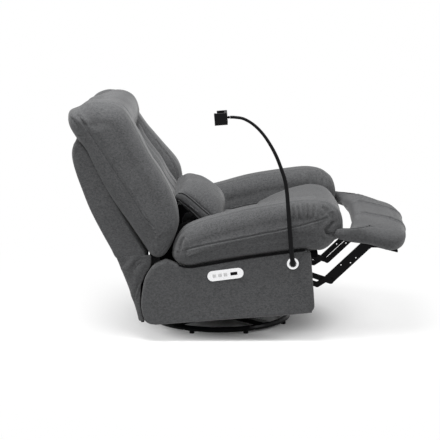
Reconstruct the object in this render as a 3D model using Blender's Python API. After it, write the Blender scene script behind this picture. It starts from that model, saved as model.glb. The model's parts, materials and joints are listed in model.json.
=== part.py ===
"""Swivel rocker recliner with a power footrest, a control plate and a phone arm.

Metres, +Z up. The front of the chair faces -Y and the sitter's right side is -X.
The origin is on the floor under the middle of the chair's bounding box.
The ring base is level. Everything above the rocker is drawn in the chassis frame, in which
the chair is level, and that frame is then rocked back to the pose of the photograph.
The back is drawn upright in its own frame, whose origin is the recline axis.
"""
import math

import bmesh
import bpy
from mathutils import Matrix, Vector
from mathutils.geometry import tessellate_polygon

# Clearances
SEAT_GAP = 0.0003
PIVOT_CLEARANCE = 0.0005
SEAM_GAP = 0.004
CUT_OVERRUN = 0.010

# Swivel axis, measured from the middle of the bounding box
SWIVEL_X = 0.02735
SWIVEL_Y = 0.09347

# Ring base
RING_DIAMETER = 0.640
RING_TUBE = 0.025
GLIDE_DIAMETER = 0.022
GLIDE_HEIGHT = 0.008
GLIDE_COUNT = 8
SPOKE_WIDTH = 0.036
SPOKE_HEIGHT = 0.020
HUB_DIAMETER = 0.170
HUB_HEIGHT = 0.030

# Swivel bearing and rocker treads
BEARING_DIAMETER = 0.190
BEARING_HEIGHT = 0.010
SWIVEL_PIN_DIAMETER = 0.024
TURNTABLE_WIDTH = 0.430
TURNTABLE_LENGTH = 0.300
TURNTABLE_THICKNESS = 0.004
TREAD_HALF_TRACK = 0.140
TREAD_WIDTH = 0.030
TREAD_HEIGHT = 0.020

# Rocker
ROCKER_RADIUS = 0.450
ROCKER_LENGTH = 0.320
ROCKER_THICKNESS = 0.022
ROCK_BACK_ANGLE = math.radians(4.5)
SPRING_DIAMETER = 0.040
SPRING_WIRE = 0.004
SPRING_TURNS = 5
SPRING_TRACK = 0.185
SPRING_BASE = 0.120

# Chassis
PANEL_THICKNESS = 0.055
PANEL_BOTTOM = 0.098
PANEL_REAR = 0.361
PANEL_FRONT = -0.382
PANEL_PEAK = 0.378
RAIL_HEIGHT = 0.040
RAIL_DEPTH = 0.040
RAIL_BOTTOM = 0.125
FRONT_RAIL_Y = -0.215
REAR_RAIL_Y = 0.215
DECK_THICKNESS = 0.022
DECK_BOTTOM = 0.300
DECK_REAR = 0.170
DECK_FRONT = -0.415

# Seat and arms
SEAT_WIDTH = 0.536
SEAT_REAR = 0.180
SEAT_FRONT = -0.532
SEAT_CROWN = 0.530
ARM_WIDTH = 0.200
ARM_TRACK = (SEAT_WIDTH + ARM_WIDTH) / 2 + 0.002
BODY_WIDTH = 2 * ARM_TRACK + 0.150
ARM_REAR = 0.214
ARM_FRONT = -0.525
ARM_TOP = 0.586

# Recline axis and back
RECLINE_Y = 0.256
RECLINE_Z = 0.475
RECLINE_ANGLE = math.radians(23.5)
BACK_HEIGHT = 0.731
BACK_DEPTH = 0.248
WING_TRACK = ARM_TRACK - 0.010
WING_WIDTH = 0.200
FRAME_WIDTH = 0.500
FRAME_RAIL = 0.028
SHELL_WIDTH = BODY_WIDTH - 0.066
SHELL_HEIGHT = 0.520
SHELL_THICKNESS = 0.100

# Footrest linkage, side view, with the footrest out
LINK_TRACK = 0.200
LINK_THICKNESS = 0.004
LINK_WIDTH = 0.024
PIN_DIAMETER = 0.009
FRONT_PIVOT = (-0.329, 0.236)
REAR_PIVOT = (-0.285, 0.214)
FRONT_LINK_LENGTH = 0.147
FRONT_LINK_CROSSING = 0.120
FRONT_LINK_ANGLE = math.radians(-23.0)
OUTER_LINK_LENGTH = 0.2274
OUTER_LINK_TAIL = 0.042
OUTER_LINK_TAIL_ANGLE = math.radians(-11.0)
OUTER_LINK_ANGLE = math.radians(39.3)
REAR_LINK_ANGLE = math.radians(-20.6)
FOOTREST_SLOPE = math.radians(-18.5)
FOOTREST_WIDTH = 0.740
FOOTREST_EARS = BODY_WIDTH - 0.010
FOOTREST_THICKNESS = 0.085
FOOTREST_LENGTH = 0.245

# Actuator
ACTUATOR_X = 0.060
CRANK_RADIUS = 0.050
MOTOR_LENGTH = 0.110
MOTOR_DIAMETER = 0.062

# Control plate and phone arm
PLATE_LENGTH = 0.155
PLATE_HEIGHT = 0.045
PLATE_THICKNESS = 0.003
PLATE_Y = -0.012
PLATE_Z = 0.299
PLATE_TILT = math.radians(3.0)
POCKET_DEPTH = 0.010
BUTTON_TRAVEL = 0.0015
FLANGE_DIAMETER = 0.052
FLANGE_Y = -0.302
FLANGE_Z = 0.325
NECK_DIAMETER = 0.021
NECK_TIP_DIAMETER = 0.0125
CLAMP_WIDTH = 0.084
CLAMP_HEIGHT = 0.050
CLAMP_DEPTH = 0.054


def clear_scene():
    """Remove what the scene holds."""
    for thing in list(bpy.data.objects):
        bpy.data.objects.remove(thing, do_unlink=True)


def material(name, colour, roughness, metallic=0.0):
    """A plain Principled material."""
    mat = bpy.data.materials.new(name)
    mat.use_nodes = True
    shader = mat.node_tree.nodes["Principled BSDF"]
    shader.inputs["Base Color"].default_value = (*colour, 1.0)
    shader.inputs["Roughness"].default_value = roughness
    shader.inputs["Metallic"].default_value = metallic
    return mat


def empty(name, parent, place, turn_x=0.0):
    """A joint's frame: its X axis is the hinge."""
    frame = bpy.data.objects.new(name, None)
    bpy.context.collection.objects.link(frame)
    frame.parent = parent
    frame.location = place
    frame.rotation_euler = (turn_x, 0.0, 0.0)
    return frame


def add_object(name, mesh_builder, frame, mat, smooth_angle=40.0):
    """Turn a bmesh into a named object in its frame."""
    bmesh.ops.remove_doubles(mesh_builder, verts=mesh_builder.verts, dist=SEAT_GAP / 10)
    bmesh.ops.recalc_face_normals(mesh_builder, faces=mesh_builder.faces)
    if mesh_builder.calc_volume(signed=True) < 0:
        bmesh.ops.reverse_faces(mesh_builder, faces=mesh_builder.faces)
    mesh = bpy.data.meshes.new(name)
    mesh_builder.to_mesh(mesh)
    mesh_builder.free()
    mesh.materials.append(mat)
    mesh.shade_smooth()
    mesh.set_sharp_from_angle(angle=math.radians(smooth_angle))
    thing = bpy.data.objects.new(name, mesh)
    bpy.context.collection.objects.link(thing)
    thing.parent = frame
    return thing


def boolean(thing, other, operation):
    """Cut with, or join to, a hidden helper solid."""
    other.hide_render = True
    other.display_type = "WIRE"
    modifier = thing.modifiers.new(operation.lower(), "BOOLEAN")
    modifier.operation = operation
    modifier.object = other


def resample(points, count):
    """Evenly spaced points on a smooth closed curve through the given points."""
    fine = []
    total = len(points)
    steps = 12
    for i in range(total):
        p0, p1, p2, p3 = (Vector(points[(i + k - 1) % total]) for k in range(4))
        for k in range(steps):
            t = k / steps
            fine.append(0.5 * ((2 * p1) + (p2 - p0) * t + (2 * p0 - 5 * p1 + 4 * p2 - p3) * t * t
                               + (3 * p1 - p0 - 3 * p2 + p3) * t * t * t))
    lengths = [(fine[(i + 1) % len(fine)] - fine[i]).length for i in range(len(fine))]
    spacing = sum(lengths) / count
    result = []
    walked = 0.0
    i = 0
    for k in range(count):
        while walked + lengths[i] < k * spacing:
            walked += lengths[i]
            i += 1
        share = (k * spacing - walked) / lengths[i]
        result.append(fine[i].lerp(fine[(i + 1) % len(fine)], share))
    return result


def rest_on(outline, level, count):
    """The outline moved so that the lowest of its resampled points lies at a level."""
    drop = min(p.y for p in resample(outline, count)) - level
    return [(y, z - drop) for y, z in outline]


def smooth_line(points, steps):
    """Points on a smooth open curve through the given points."""
    vectors = [Vector(p) for p in points]
    vectors = [2 * vectors[0] - vectors[1]] + vectors + [2 * vectors[-1] - vectors[-2]]
    result = []
    for i in range(1, len(vectors) - 2):
        p0, p1, p2, p3 = vectors[i - 1:i + 3]
        for k in range(steps):
            t = k / steps
            result.append(0.5 * ((2 * p1) + (p2 - p0) * t + (2 * p0 - 5 * p1 + 4 * p2 - p3) * t * t
                                 + (3 * p1 - p0 - 3 * p2 + p3) * t * t * t))
    result.append(vectors[-2])
    return result


def from_shares(shares, low, size):
    """An outline given as shares of a box, in metres."""
    return [(low[0] + size[0] * share[0], low[1] + size[1] * share[1]) for share in shares]


def inset(outline, distance):
    """The outline moved inwards by a distance."""
    count = len(outline)
    area = sum(outline[i].x * outline[(i + 1) % count].y - outline[(i + 1) % count].x * outline[i].y
               for i in range(count))
    sign = 1.0 if area > 0 else -1.0
    moved = []
    for i in range(count):
        along = (outline[(i + 1) % count] - outline[i - 1]).normalized()
        moved.append(outline[i] + sign * distance * Vector((-along.y, along.x)))
    return moved


def pillow(name, outline, frame, mat, middle, half, edge, count=36, rings=4, crown=0.01, shape=None,
           inwards=None):
    """A stuffed form: its side outline swept across X, with soft edges and crowned ends."""
    inwards = inwards or edge
    base = resample(outline, count) if count else [Vector(p) for p in outline]
    count = len(base)
    centre = sum(base, Vector((0.0, 0.0))) / count
    builder = bmesh.new()
    loops = []
    end_share = 0.55
    inner_share = 0.25
    for k in range(-rings, rings + 1):
        turn = 0.5 * math.pi * k / rings
        ring = inset(base, inwards * (1.0 - math.cos(turn)))
        level = (half - edge) * (1 if k > 0 else -1 if k < 0 else 0) + edge * math.sin(turn)
        loops.append((level, ring))
    if crown:
        ends = []
        for sign in (-1, 1):
            rim = loops[0][1] if sign < 0 else loops[-1][1]
            for share in (end_share, inner_share):
                ring = [centre.lerp(p, share) for p in rim]
                ends.append((sign * (half + crown * (1 - share * share)), ring))
        loops = [ends[1], ends[0]] + loops + [ends[2], ends[3]]
    rows = []
    for level, ring in loops:
        rows.append([builder.verts.new((middle + level, p.x, p.y)) for p in ring])
    for low, high in zip(rows, rows[1:]):
        for i in range(count):
            j = (i + 1) % count
            builder.faces.new((low[i], low[j], high[j], high[i]))
    for row, sign in ((rows[0], -1), (rows[-1], 1)):
        if crown:
            tip = builder.verts.new((middle + sign * (half + crown), centre.x, centre.y))
            for i in range(count):
                builder.faces.new((row[i], row[(i + 1) % count], tip))
        else:
            rim = loops[0][1] if sign < 0 else loops[-1][1]
            for tri in tessellate_polygon([[p.to_3d() for p in rim]]):
                builder.faces.new([row[i] for i in tri])
    if shape:
        for vert in builder.verts:
            vert.co = shape(vert.co)
    return add_object(name, builder, frame, mat, 80.0)


def circle(centre, radius, count=12):
    """Points of a circle in the side view."""
    return [Vector((centre[0] + radius * math.cos(2 * math.pi * k / count),
                    centre[1] + radius * math.sin(2 * math.pi * k / count))) for k in range(count)]


def plate_mesh(builder, outline, x0, x1, holes=(), bosses=()):
    """A flat plate across X with round holes and round bosses, as one closed solid.

    A hole is (y, z, radius). A boss is (y, z, radius, x of its end).
    """
    outline = [Vector(p) for p in outline]
    hole_loops = [circle((h[0], h[1]), h[2]) for h in holes]
    for level, sign in ((x0, -1), (x1, 1)):
        own = [b for b in bosses if (b[3] > max(x0, x1)) == (level == max(x0, x1))]
        boss_loops = [circle((b[0], b[1]), b[2]) for b in own]
        loops = [outline] + hole_loops + boss_loops
        flat = [p for loop in loops for p in loop]
        verts = [builder.verts.new((level, p.x, p.y)) for p in flat]
        for tri in tessellate_polygon([[p.to_3d() for p in loop] for loop in loops]):
            builder.faces.new([verts[i] for i in tri])
        start = len(outline) + sum(len(loop) for loop in hole_loops)
        for boss, loop in zip(own, boss_loops):
            rim = verts[start:start + len(loop)]
            top = [builder.verts.new((boss[3], p.x, p.y)) for p in loop]
            for i in range(len(loop)):
                j = (i + 1) % len(loop)
                builder.faces.new((rim[i], rim[j], top[j], top[i]))
            builder.faces.new(top)
            start += len(loop)
        if sign < 0:
            first = verts
        else:
            start = 0
            for loop in [outline] + hole_loops:
                size = len(loop)
                for i in range(size):
                    j = start + (i + 1) % size
                    builder.faces.new((first[start + i], first[j], verts[j], verts[start + i]))
                start += size


def stadium(points, width, count=6):
    """The outline of a bar with round ends that follows two or more points."""
    pts = [Vector(p) for p in points]
    half = 0.5 * width
    left = []
    right = []
    for i, p in enumerate(pts):
        before = (p - pts[i - 1]).normalized() if i else (pts[1] - p).normalized()
        after = (pts[i + 1] - p).normalized() if i + 1 < len(pts) else before
        along = (before + after).normalized()
        stretch = 1.0 / max(0.5, along.dot(before))
        side = Vector((-along.y, along.x)) * half * stretch
        if 0 < i < len(pts) - 1:
            left.append(p + side)
            right.append(p - side)
        elif i == 0:
            first = math.atan2(side.y, side.x)
            cap_start = [p + half * Vector((math.cos(first + math.pi * k / count),
                                            math.sin(first + math.pi * k / count)))
                         for k in range(count + 1)]
        else:
            last = math.atan2(-side.y, -side.x)
            cap_end = [p + half * Vector((math.cos(last + math.pi * k / count),
                                          math.sin(last + math.pi * k / count)))
                       for k in range(count + 1)]
    return cap_start + right + cap_end + left[::-1]


def box_mesh(builder, low, high):
    """An upright box between two corners."""
    made = bmesh.ops.create_cube(builder, size=1.0)
    low = Vector(low)
    high = Vector(high)
    for vert in made["verts"]:
        vert.co = Vector(((low[i] + high[i]) / 2 + vert.co[i] * (high[i] - low[i]) for i in range(3)))
    return made["verts"]


def box(name, low, high, frame, mat, bevel=0.0):
    """A box with softened edges."""
    builder = bmesh.new()
    box_mesh(builder, low, high)
    if bevel:
        bmesh.ops.bevel(builder, geom=builder.edges[:], offset=bevel, segments=2, affect="EDGES",
                        profile=0.5)
    return add_object(name, builder, frame, mat, 50.0)


def cylinder(builder, start, end, radius, count=24):
    """A closed cylinder between two points."""
    start = Vector(start)
    end = Vector(end)
    along = end - start
    turn = along.to_track_quat("Z", "Y").to_matrix().to_4x4()
    matrix = Matrix.Translation((start + end) / 2) @ turn
    bmesh.ops.create_cone(builder, cap_ends=True, segments=count, radius1=radius, radius2=radius,
                          depth=along.length, matrix=matrix)


def sweep(builder, points, radii, sides, closed=False):
    """A tube along a line of points, with its own radius at each point."""
    points = [Vector(p) for p in points]
    total = len(points)
    rows = []
    normal = None
    for i, p in enumerate(points):
        if closed:
            along = (points[(i + 1) % total] - points[i - 1]).normalized()
        else:
            along = (points[min(i + 1, total - 1)] - points[max(i - 1, 0)]).normalized()
        if normal is None:
            normal = along.orthogonal().normalized()
        normal = (normal - along * normal.dot(along)).normalized()
        other = along.cross(normal)
        rows.append([builder.verts.new(p + radii[i] * (math.cos(2 * math.pi * k / sides) * normal
                                                       + math.sin(2 * math.pi * k / sides) * other))
                     for k in range(sides)])
    pairs = list(zip(rows, rows[1:]))
    if closed:
        pairs.append((rows[-1], rows[0]))
    for low, high in pairs:
        for k in range(sides):
            m = (k + 1) % sides
            builder.faces.new((low[k], low[m], high[m], high[k]))
    if not closed:
        builder.faces.new(rows[0])
        builder.faces.new(rows[-1])


def ring_points(radius, height, count):
    """Points round the swivel axis at one height."""
    return [(radius * math.cos(2 * math.pi * k / count), radius * math.sin(2 * math.pi * k / count),
             height) for k in range(count)]


def base_ring(frame, steel):
    """The tubular floor ring with its crossed spokes, hub and glide pads, welded together."""
    tube_middle = GLIDE_HEIGHT + RING_TUBE / 2
    path_radius = (RING_DIAMETER - RING_TUBE) / 2
    builder = bmesh.new()
    count = 56
    sweep(builder, ring_points(path_radius, tube_middle, count), [RING_TUBE / 2] * count, 8, True)
    ring = add_object("base_ring", builder, frame, steel)
    pads = bmesh.new()
    for k in range(GLIDE_COUNT):
        turn = 2 * math.pi * (k + 0.5) / GLIDE_COUNT
        x = path_radius * math.cos(turn)
        y = path_radius * math.sin(turn)
        cylinder(pads, (x, y, 0.0), (x, y, tube_middle), GLIDE_DIAMETER / 2, 10)
    boolean(ring, add_object("glide_pads_tool", pads, frame, steel), "UNION")
    spoke_low = tube_middle - SPOKE_HEIGHT / 2
    for k in range(2):
        spokes = bmesh.new()
        box_mesh(spokes, (-path_radius, -SPOKE_WIDTH / 2, spoke_low),
                 (path_radius, SPOKE_WIDTH / 2, spoke_low + SPOKE_HEIGHT))
        bmesh.ops.rotate(spokes, verts=spokes.verts, cent=(0, 0, 0),
                         matrix=Matrix.Rotation(math.pi * (k + 0.5) / 2, 3, "Z"))
        boolean(ring, add_object(f"spoke_tool_{k}", spokes, frame, steel), "UNION")
    hub = bmesh.new()
    cylinder(hub, (0, 0, spoke_low), (0, 0, spoke_low + HUB_HEIGHT), HUB_DIAMETER / 2, 32)
    boolean(ring, add_object("hub_tool", hub, frame, steel), "UNION")
    bore = bmesh.new()
    cylinder(bore, (0, 0, spoke_low - CUT_OVERRUN), (0, 0, spoke_low + HUB_HEIGHT + CUT_OVERRUN),
             SWIVEL_PIN_DIAMETER / 2 + PIVOT_CLEARANCE, 24)
    boolean(ring, add_object("hub_bore_tool", bore, frame, steel), "DIFFERENCE")
    return spoke_low + HUB_HEIGHT


def turned_ring(name, outer, inner, low, high, frame, mat, count=32):
    """A flat turned ring about the swivel axis."""
    builder = bmesh.new()
    rows = []
    for radius, level in ((outer, low), (outer, high), (inner, high), (inner, low)):
        rows.append([builder.verts.new(p) for p in ring_points(radius, level, count)])
    for a, b in zip(rows, rows[1:] + rows[:1]):
        for k in range(count):
            m = (k + 1) % count
            builder.faces.new((a[k], a[m], b[m], b[k]))
    return add_object(name, builder, frame, mat)


def turntable(frame, hub_top, steel, bright):
    """The swivel bearing's upper half, its pin, the turntable plate and the rocker treads."""
    pin_radius = SWIVEL_PIN_DIAMETER / 2
    race_low = hub_top + SEAT_GAP
    race_high = race_low + BEARING_HEIGHT
    turned_ring("swivel_bearing", BEARING_DIAMETER / 2, pin_radius + PIVOT_CLEARANCE, race_low, race_high,
                frame, bright)
    plate_low = race_high + SEAT_GAP
    plate_high = plate_low + TURNTABLE_THICKNESS
    builder = bmesh.new()
    box_mesh(builder, (-TURNTABLE_WIDTH / 2, -TURNTABLE_LENGTH / 2, plate_low),
             (TURNTABLE_WIDTH / 2, TURNTABLE_LENGTH / 2, plate_high))
    upright = [edge for edge in builder.edges if abs(edge.verts[0].co.z - edge.verts[1].co.z) > SEAT_GAP]
    bmesh.ops.bevel(builder, geom=upright, offset=TURNTABLE_LENGTH / 8, segments=5, affect="EDGES")
    plate = add_object("turntable_plate", builder, frame, steel)
    bore = bmesh.new()
    cylinder(bore, (0, 0, plate_low - CUT_OVERRUN), (0, 0, plate_high + CUT_OVERRUN),
             pin_radius + PIVOT_CLEARANCE, 24)
    boolean(plate, add_object("turntable_bore_tool", bore, frame, steel), "DIFFERENCE")
    pin = bmesh.new()
    head = pin_radius / 2
    cylinder(pin, (0, 0, GLIDE_HEIGHT + head), (0, 0, plate_high + head / 2), pin_radius, 24)
    pin_object = add_object("swivel_pin", pin, frame, bright)
    cap = bmesh.new()
    cylinder(cap, (0, 0, plate_high + SEAT_GAP), (0, 0, plate_high + head), pin_radius * 1.7, 6)
    boolean(pin_object, add_object("pin_head_tool", cap, frame, bright), "UNION")
    tread_low = plate_high + SEAT_GAP
    tread_high = tread_low + TREAD_HEIGHT
    wall = TURNTABLE_THICKNESS / 2
    for side, word in ((-1, "right"), (1, "left")):
        half = TREAD_WIDTH / 2
        lip = half * 1.5
        profile = [(-lip, tread_low), (lip, tread_low), (lip, tread_low + wall), (half, tread_low + wall),
                   (half, tread_high), (-half, tread_high), (-half, tread_low + wall),
                   (-lip, tread_low + wall)]
        builder = bmesh.new()
        rows = []
        for y in (-TURNTABLE_LENGTH / 2, TURNTABLE_LENGTH / 2):
            rows.append([builder.verts.new((side * TREAD_HALF_TRACK + px, y, pz)) for px, pz in profile])
        for k in range(len(profile)):
            m = (k + 1) % len(profile)
            builder.faces.new((rows[0][k], rows[0][m], rows[1][m], rows[1][k]))
        builder.faces.new(rows[0])
        builder.faces.new(rows[1])
        add_object(f"rocker_tread_{word}", builder, frame, steel)
    return tread_high, plate_high


def rocker(frame, rock_height, steel):
    """The two rocker cams, each with a spring seat, in the level chassis frame."""
    half = ROCKER_LENGTH / 2
    reach = math.asin(half / ROCKER_RADIUS)
    steps = 16
    bar_low = RAIL_BOTTOM + RAIL_HEIGHT + SEAT_GAP
    bar_high = bar_low + DECK_THICKNESS
    bar_front = FRONT_RAIL_Y - RAIL_DEPTH / 2
    bar_rear = REAR_RAIL_Y + RAIL_DEPTH / 2
    web_front = FRONT_RAIL_Y + RAIL_DEPTH / 2 + SEAT_GAP
    web_rear = REAR_RAIL_Y - RAIL_DEPTH / 2 - SEAT_GAP
    arc = []
    for k in range(steps + 1):
        turn = -reach + 2 * reach * k / steps
        arc.append((ROCKER_RADIUS * math.sin(turn), rock_height - ROCKER_RADIUS * math.cos(turn)))
    relief = bar_low + SPRING_WIRE / 2
    outline = arc + [(web_rear, RAIL_BOTTOM), (web_rear, relief), (bar_rear, bar_low),
                     (bar_rear, bar_high), (bar_front, bar_high), (bar_front, bar_low),
                     (web_front, relief), (web_front, RAIL_BOTTOM)]
    seat_low = RAIL_BOTTOM + SPRING_WIRE
    for side, word in ((-1, "right"), (1, "left")):
        inner = side * (TREAD_HALF_TRACK - ROCKER_THICKNESS / 2)
        outer = side * (TREAD_HALF_TRACK + ROCKER_THICKNESS / 2)
        builder = bmesh.new()
        plate_mesh(builder, outline, min(inner, outer), max(inner, outer))
        cam = add_object(f"rocker_cam_{word}", builder, frame, steel)
        shelf = bmesh.new()
        reach_x = side * (SPRING_TRACK + SPRING_DIAMETER / 2 + SPRING_WIRE)
        middle_x = side * TREAD_HALF_TRACK
        box_mesh(shelf, (min(middle_x, reach_x), -SPRING_BASE / 2 - SPRING_DIAMETER, seat_low),
                 (max(middle_x, reach_x), SPRING_BASE / 2 + SPRING_DIAMETER, seat_low + SPRING_WIRE))
        boolean(cam, add_object(f"spring_seat_tool_{word}", shelf, frame, steel), "UNION")
    return seat_low


def rocker_springs(frame, plate_high, seat_low, rock_height, bright):
    """Four upright coils between the turntable plate and the rocker's spring seats."""
    radius = (SPRING_DIAMETER - SPRING_WIRE) / 2
    per_turn = 10
    for side, word in ((-1, "right"), (1, "left")):
        for along, place in ((-1, "front"), (1, "rear")):
            y = along * SPRING_BASE / 2
            low = plate_high + SEAT_GAP + SPRING_WIRE / 2
            edge = y + radius + SPRING_WIRE / 2
            slope = math.tan(ROCK_BACK_ANGLE)
            drop = rock_height - seat_low
            seat = rock_height - drop / math.cos(ROCK_BACK_ANGLE) - edge * slope
            high = seat - SEAT_GAP - SPRING_WIRE / 2
            count = SPRING_TURNS * per_turn
            points = []
            for k in range(count + 1):
                turn = 2 * math.pi * k / per_turn
                points.append((side * SPRING_TRACK + radius * math.cos(turn),
                               y + radius * math.sin(turn), low + (high - low) * k / count))
            builder = bmesh.new()
            sweep(builder, points, [SPRING_WIRE / 2] * len(points), 4)
            add_object(f"rocker_spring_{word}_{place}", builder, frame, bright)
            print("rocker spring, least gap between turns:",
                  round((high - low) / SPRING_TURNS - SPRING_WIRE, 5))


PANEL_TOP_SHARES = ((0.838, 1.000), (0.811, 0.976), (0.755, 0.908), (0.698, 0.870), (0.583, 0.893),
                    (0.351, 0.950), (0.034, 1.000))


def panel_top():
    """The top line of a side panel, from rear to front, in the chassis frame."""
    return from_shares(PANEL_TOP_SHARES, (PANEL_FRONT, PANEL_BOTTOM),
                       (PANEL_REAR - PANEL_FRONT, PANEL_PEAK - PANEL_BOTTOM))


def side_panels(frame, cloth):
    """The padded side panels, with the control pocket and the phone arm's socket on the right."""
    length = PANEL_REAR - PANEL_FRONT
    height = PANEL_PEAK - PANEL_BOTTOM
    rear = from_shares(((0.90, 0.0), (0.965, 0.02), (0.988, 0.10), (0.998, 0.33), (0.975, 0.64),
                        (0.950, 0.79), (0.905, 0.93)), (PANEL_FRONT, PANEL_BOTTOM), (length, height))
    front = from_shares(((0.010, 0.985), (0.0, 0.90), (0.0, 0.60), (0.002, 0.20), (0.010, 0.03),
                         (0.04, 0.0), (0.45, 0.0)), (PANEL_FRONT, PANEL_BOTTOM), (length, height))
    outline = rear + panel_top() + front
    outer = BODY_WIDTH / 2
    middle = outer - PANEL_THICKNESS / 2
    edge = PANEL_THICKNESS / 5
    for side, word in ((-1, "right"), (1, "left")):
        panel = pillow(f"side_panel_{word}", outline, frame, cloth, side * middle,
                       PANEL_THICKNESS / 2, edge, 40, 1, 0.0)
        if side < 0:
            pocket = bmesh.new()
            line = stadium(plate_axis(0.86), PLATE_HEIGHT * 0.72)
            plate_mesh(pocket, line, -outer - CUT_OVERRUN, -outer + POCKET_DEPTH)
            boolean(panel, add_object("control_pocket_tool", pocket, frame, cloth), "DIFFERENCE")
            socket = bmesh.new()
            cylinder(socket, (-outer - CUT_OVERRUN, FLANGE_Y, FLANGE_Z),
                     (-outer + PANEL_THICKNESS * 0.6, FLANGE_Y, FLANGE_Z),
                     NECK_DIAMETER / 2 + PIVOT_CLEARANCE, 20)
            boolean(panel, add_object("arm_socket_tool", socket, frame, cloth), "DIFFERENCE")


def plate_axis(share):
    """The two centres of a stadium that shares the control plate's axis."""
    half = (PLATE_LENGTH - PLATE_HEIGHT) / 2 * share
    along = Vector((math.cos(PLATE_TILT), -math.sin(PLATE_TILT)))
    middle = Vector((PLATE_Y, PLATE_Z))
    return [middle - along * half, middle + along * half]


ARM_SEAM = -0.0025
ARM_TOP_SHARES = ((0.979, 0.42), (0.910, 0.64), (0.811, 0.755), (0.692, 0.830), (0.527, 0.920),
                  (0.344, 0.975), (0.186, 0.998), (0.090, 0.945), (0.042, 0.850), (0.014, 0.750),
                  (0.0, 0.580), (0.010, 0.420), (0.058, 0.225), (0.125, 0.115))


def arm_pads(frame, cloth):
    """The stuffed arms: each sits on its side panel's top line."""
    low = PANEL_BOTTOM + 0.87 * (PANEL_PEAK - PANEL_BOTTOM)
    top = from_shares(ARM_TOP_SHARES, (ARM_FRONT, low), (ARM_REAR - ARM_FRONT, ARM_TOP - low))
    line = panel_top()
    under = [(y, z + ARM_SEAM) for y, z in reversed(line[2:])]
    rear = [(ARM_REAR - 0.004, line[1][1] + 0.006), (ARM_REAR, line[1][1] + 0.030)]
    outline = top + under + rear
    half = ARM_WIDTH / 2

    def draw_in(sign):
        def moved(point):
            out = max(0.0, (point.x * sign - ARM_TRACK) / half)
            front = min(1.0, max(0.0, (ARM_FRONT * 0.72 - point.y) / (-ARM_FRONT * 0.28)))
            rear_end = min(1.0, max(0.0, (point.y - ARM_REAR * 0.5) / (ARM_REAR * 0.5)))
            point.y += 0.85 * half * out * out * front - 0.1 * half * rear_end * rear_end
            return point
        return moved

    for side, word in ((-1, "right"), (1, "left")):
        pillow(f"arm_pad_{word}", outline, frame, cloth, side * ARM_TRACK, half * 0.92, half * 0.48,
               36, 3, half * 0.08, draw_in(side))


def seat(frame, cloth, board):
    """The sprung deck and the seat cushion with its fat front roll."""
    half = SEAT_WIDTH / 2
    deck_top = DECK_BOTTOM + DECK_THICKNESS
    box("seat_deck", (-half * 0.96, DECK_FRONT, DECK_BOTTOM), (half * 0.96, DECK_REAR, deck_top),
        frame, board, DECK_THICKNESS / 5)
    low = deck_top + SEAT_GAP
    shares = ((1.0, 0.30), (0.985, 0.52), (0.93, 0.575), (0.57, 0.585), (0.49, 0.72), (0.365, 0.88),
              (0.235, 0.985), (0.155, 1.0), (0.075, 0.90), (0.016, 0.63), (0.0, 0.44), (0.012, 0.27),
              (0.05, 0.190), (0.105, 0.180), (0.145, 0.13), (0.185, 0.0), (0.30, 0.0), (0.60, 0.0),
              (0.90, 0.0), (0.98, 0.07))
    outline = from_shares(shares, (SEAT_FRONT, low), (SEAT_REAR - SEAT_FRONT, SEAT_CROWN - low))
    pillow("seat_cushion", rest_on(outline, low, 36), frame, cloth, 0.0, half - SEAM_GAP, half * 0.16,
           36, 3, SEAM_GAP / 2)


def rails(frame, steel):
    """The cross rails that tie the side panels, rockers and mechanism plates together."""
    half = BODY_WIDTH / 2 - PANEL_THICKNESS - SEAT_GAP
    for y, word in ((FRONT_RAIL_Y, "front"), (REAR_RAIL_Y, "rear")):
        box(f"{word}_rail", (-half, y - RAIL_DEPTH / 2, RAIL_BOTTOM),
            (half, y + RAIL_DEPTH / 2, RAIL_BOTTOM + RAIL_HEIGHT), frame, steel, RAIL_DEPTH / 12)


def link_plane(number, side):
    """The near and far faces of one layer of the linkage; layers count outwards."""
    pitch = LINK_THICKNESS + SEAT_GAP
    inner = LINK_TRACK + number * pitch
    faces = (side * inner, side * (inner + LINK_THICKNESS))
    return min(faces), max(faces)


def boss(point, side, radius, from_plane, to_plane):
    """A pin that reaches from one layer to the far face of another."""
    faces = link_plane(to_plane, side)
    outward = to_plane > from_plane
    end = faces[1] if outward == (side > 0) else faces[0]
    return (point[0], point[1], radius, end)


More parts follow.
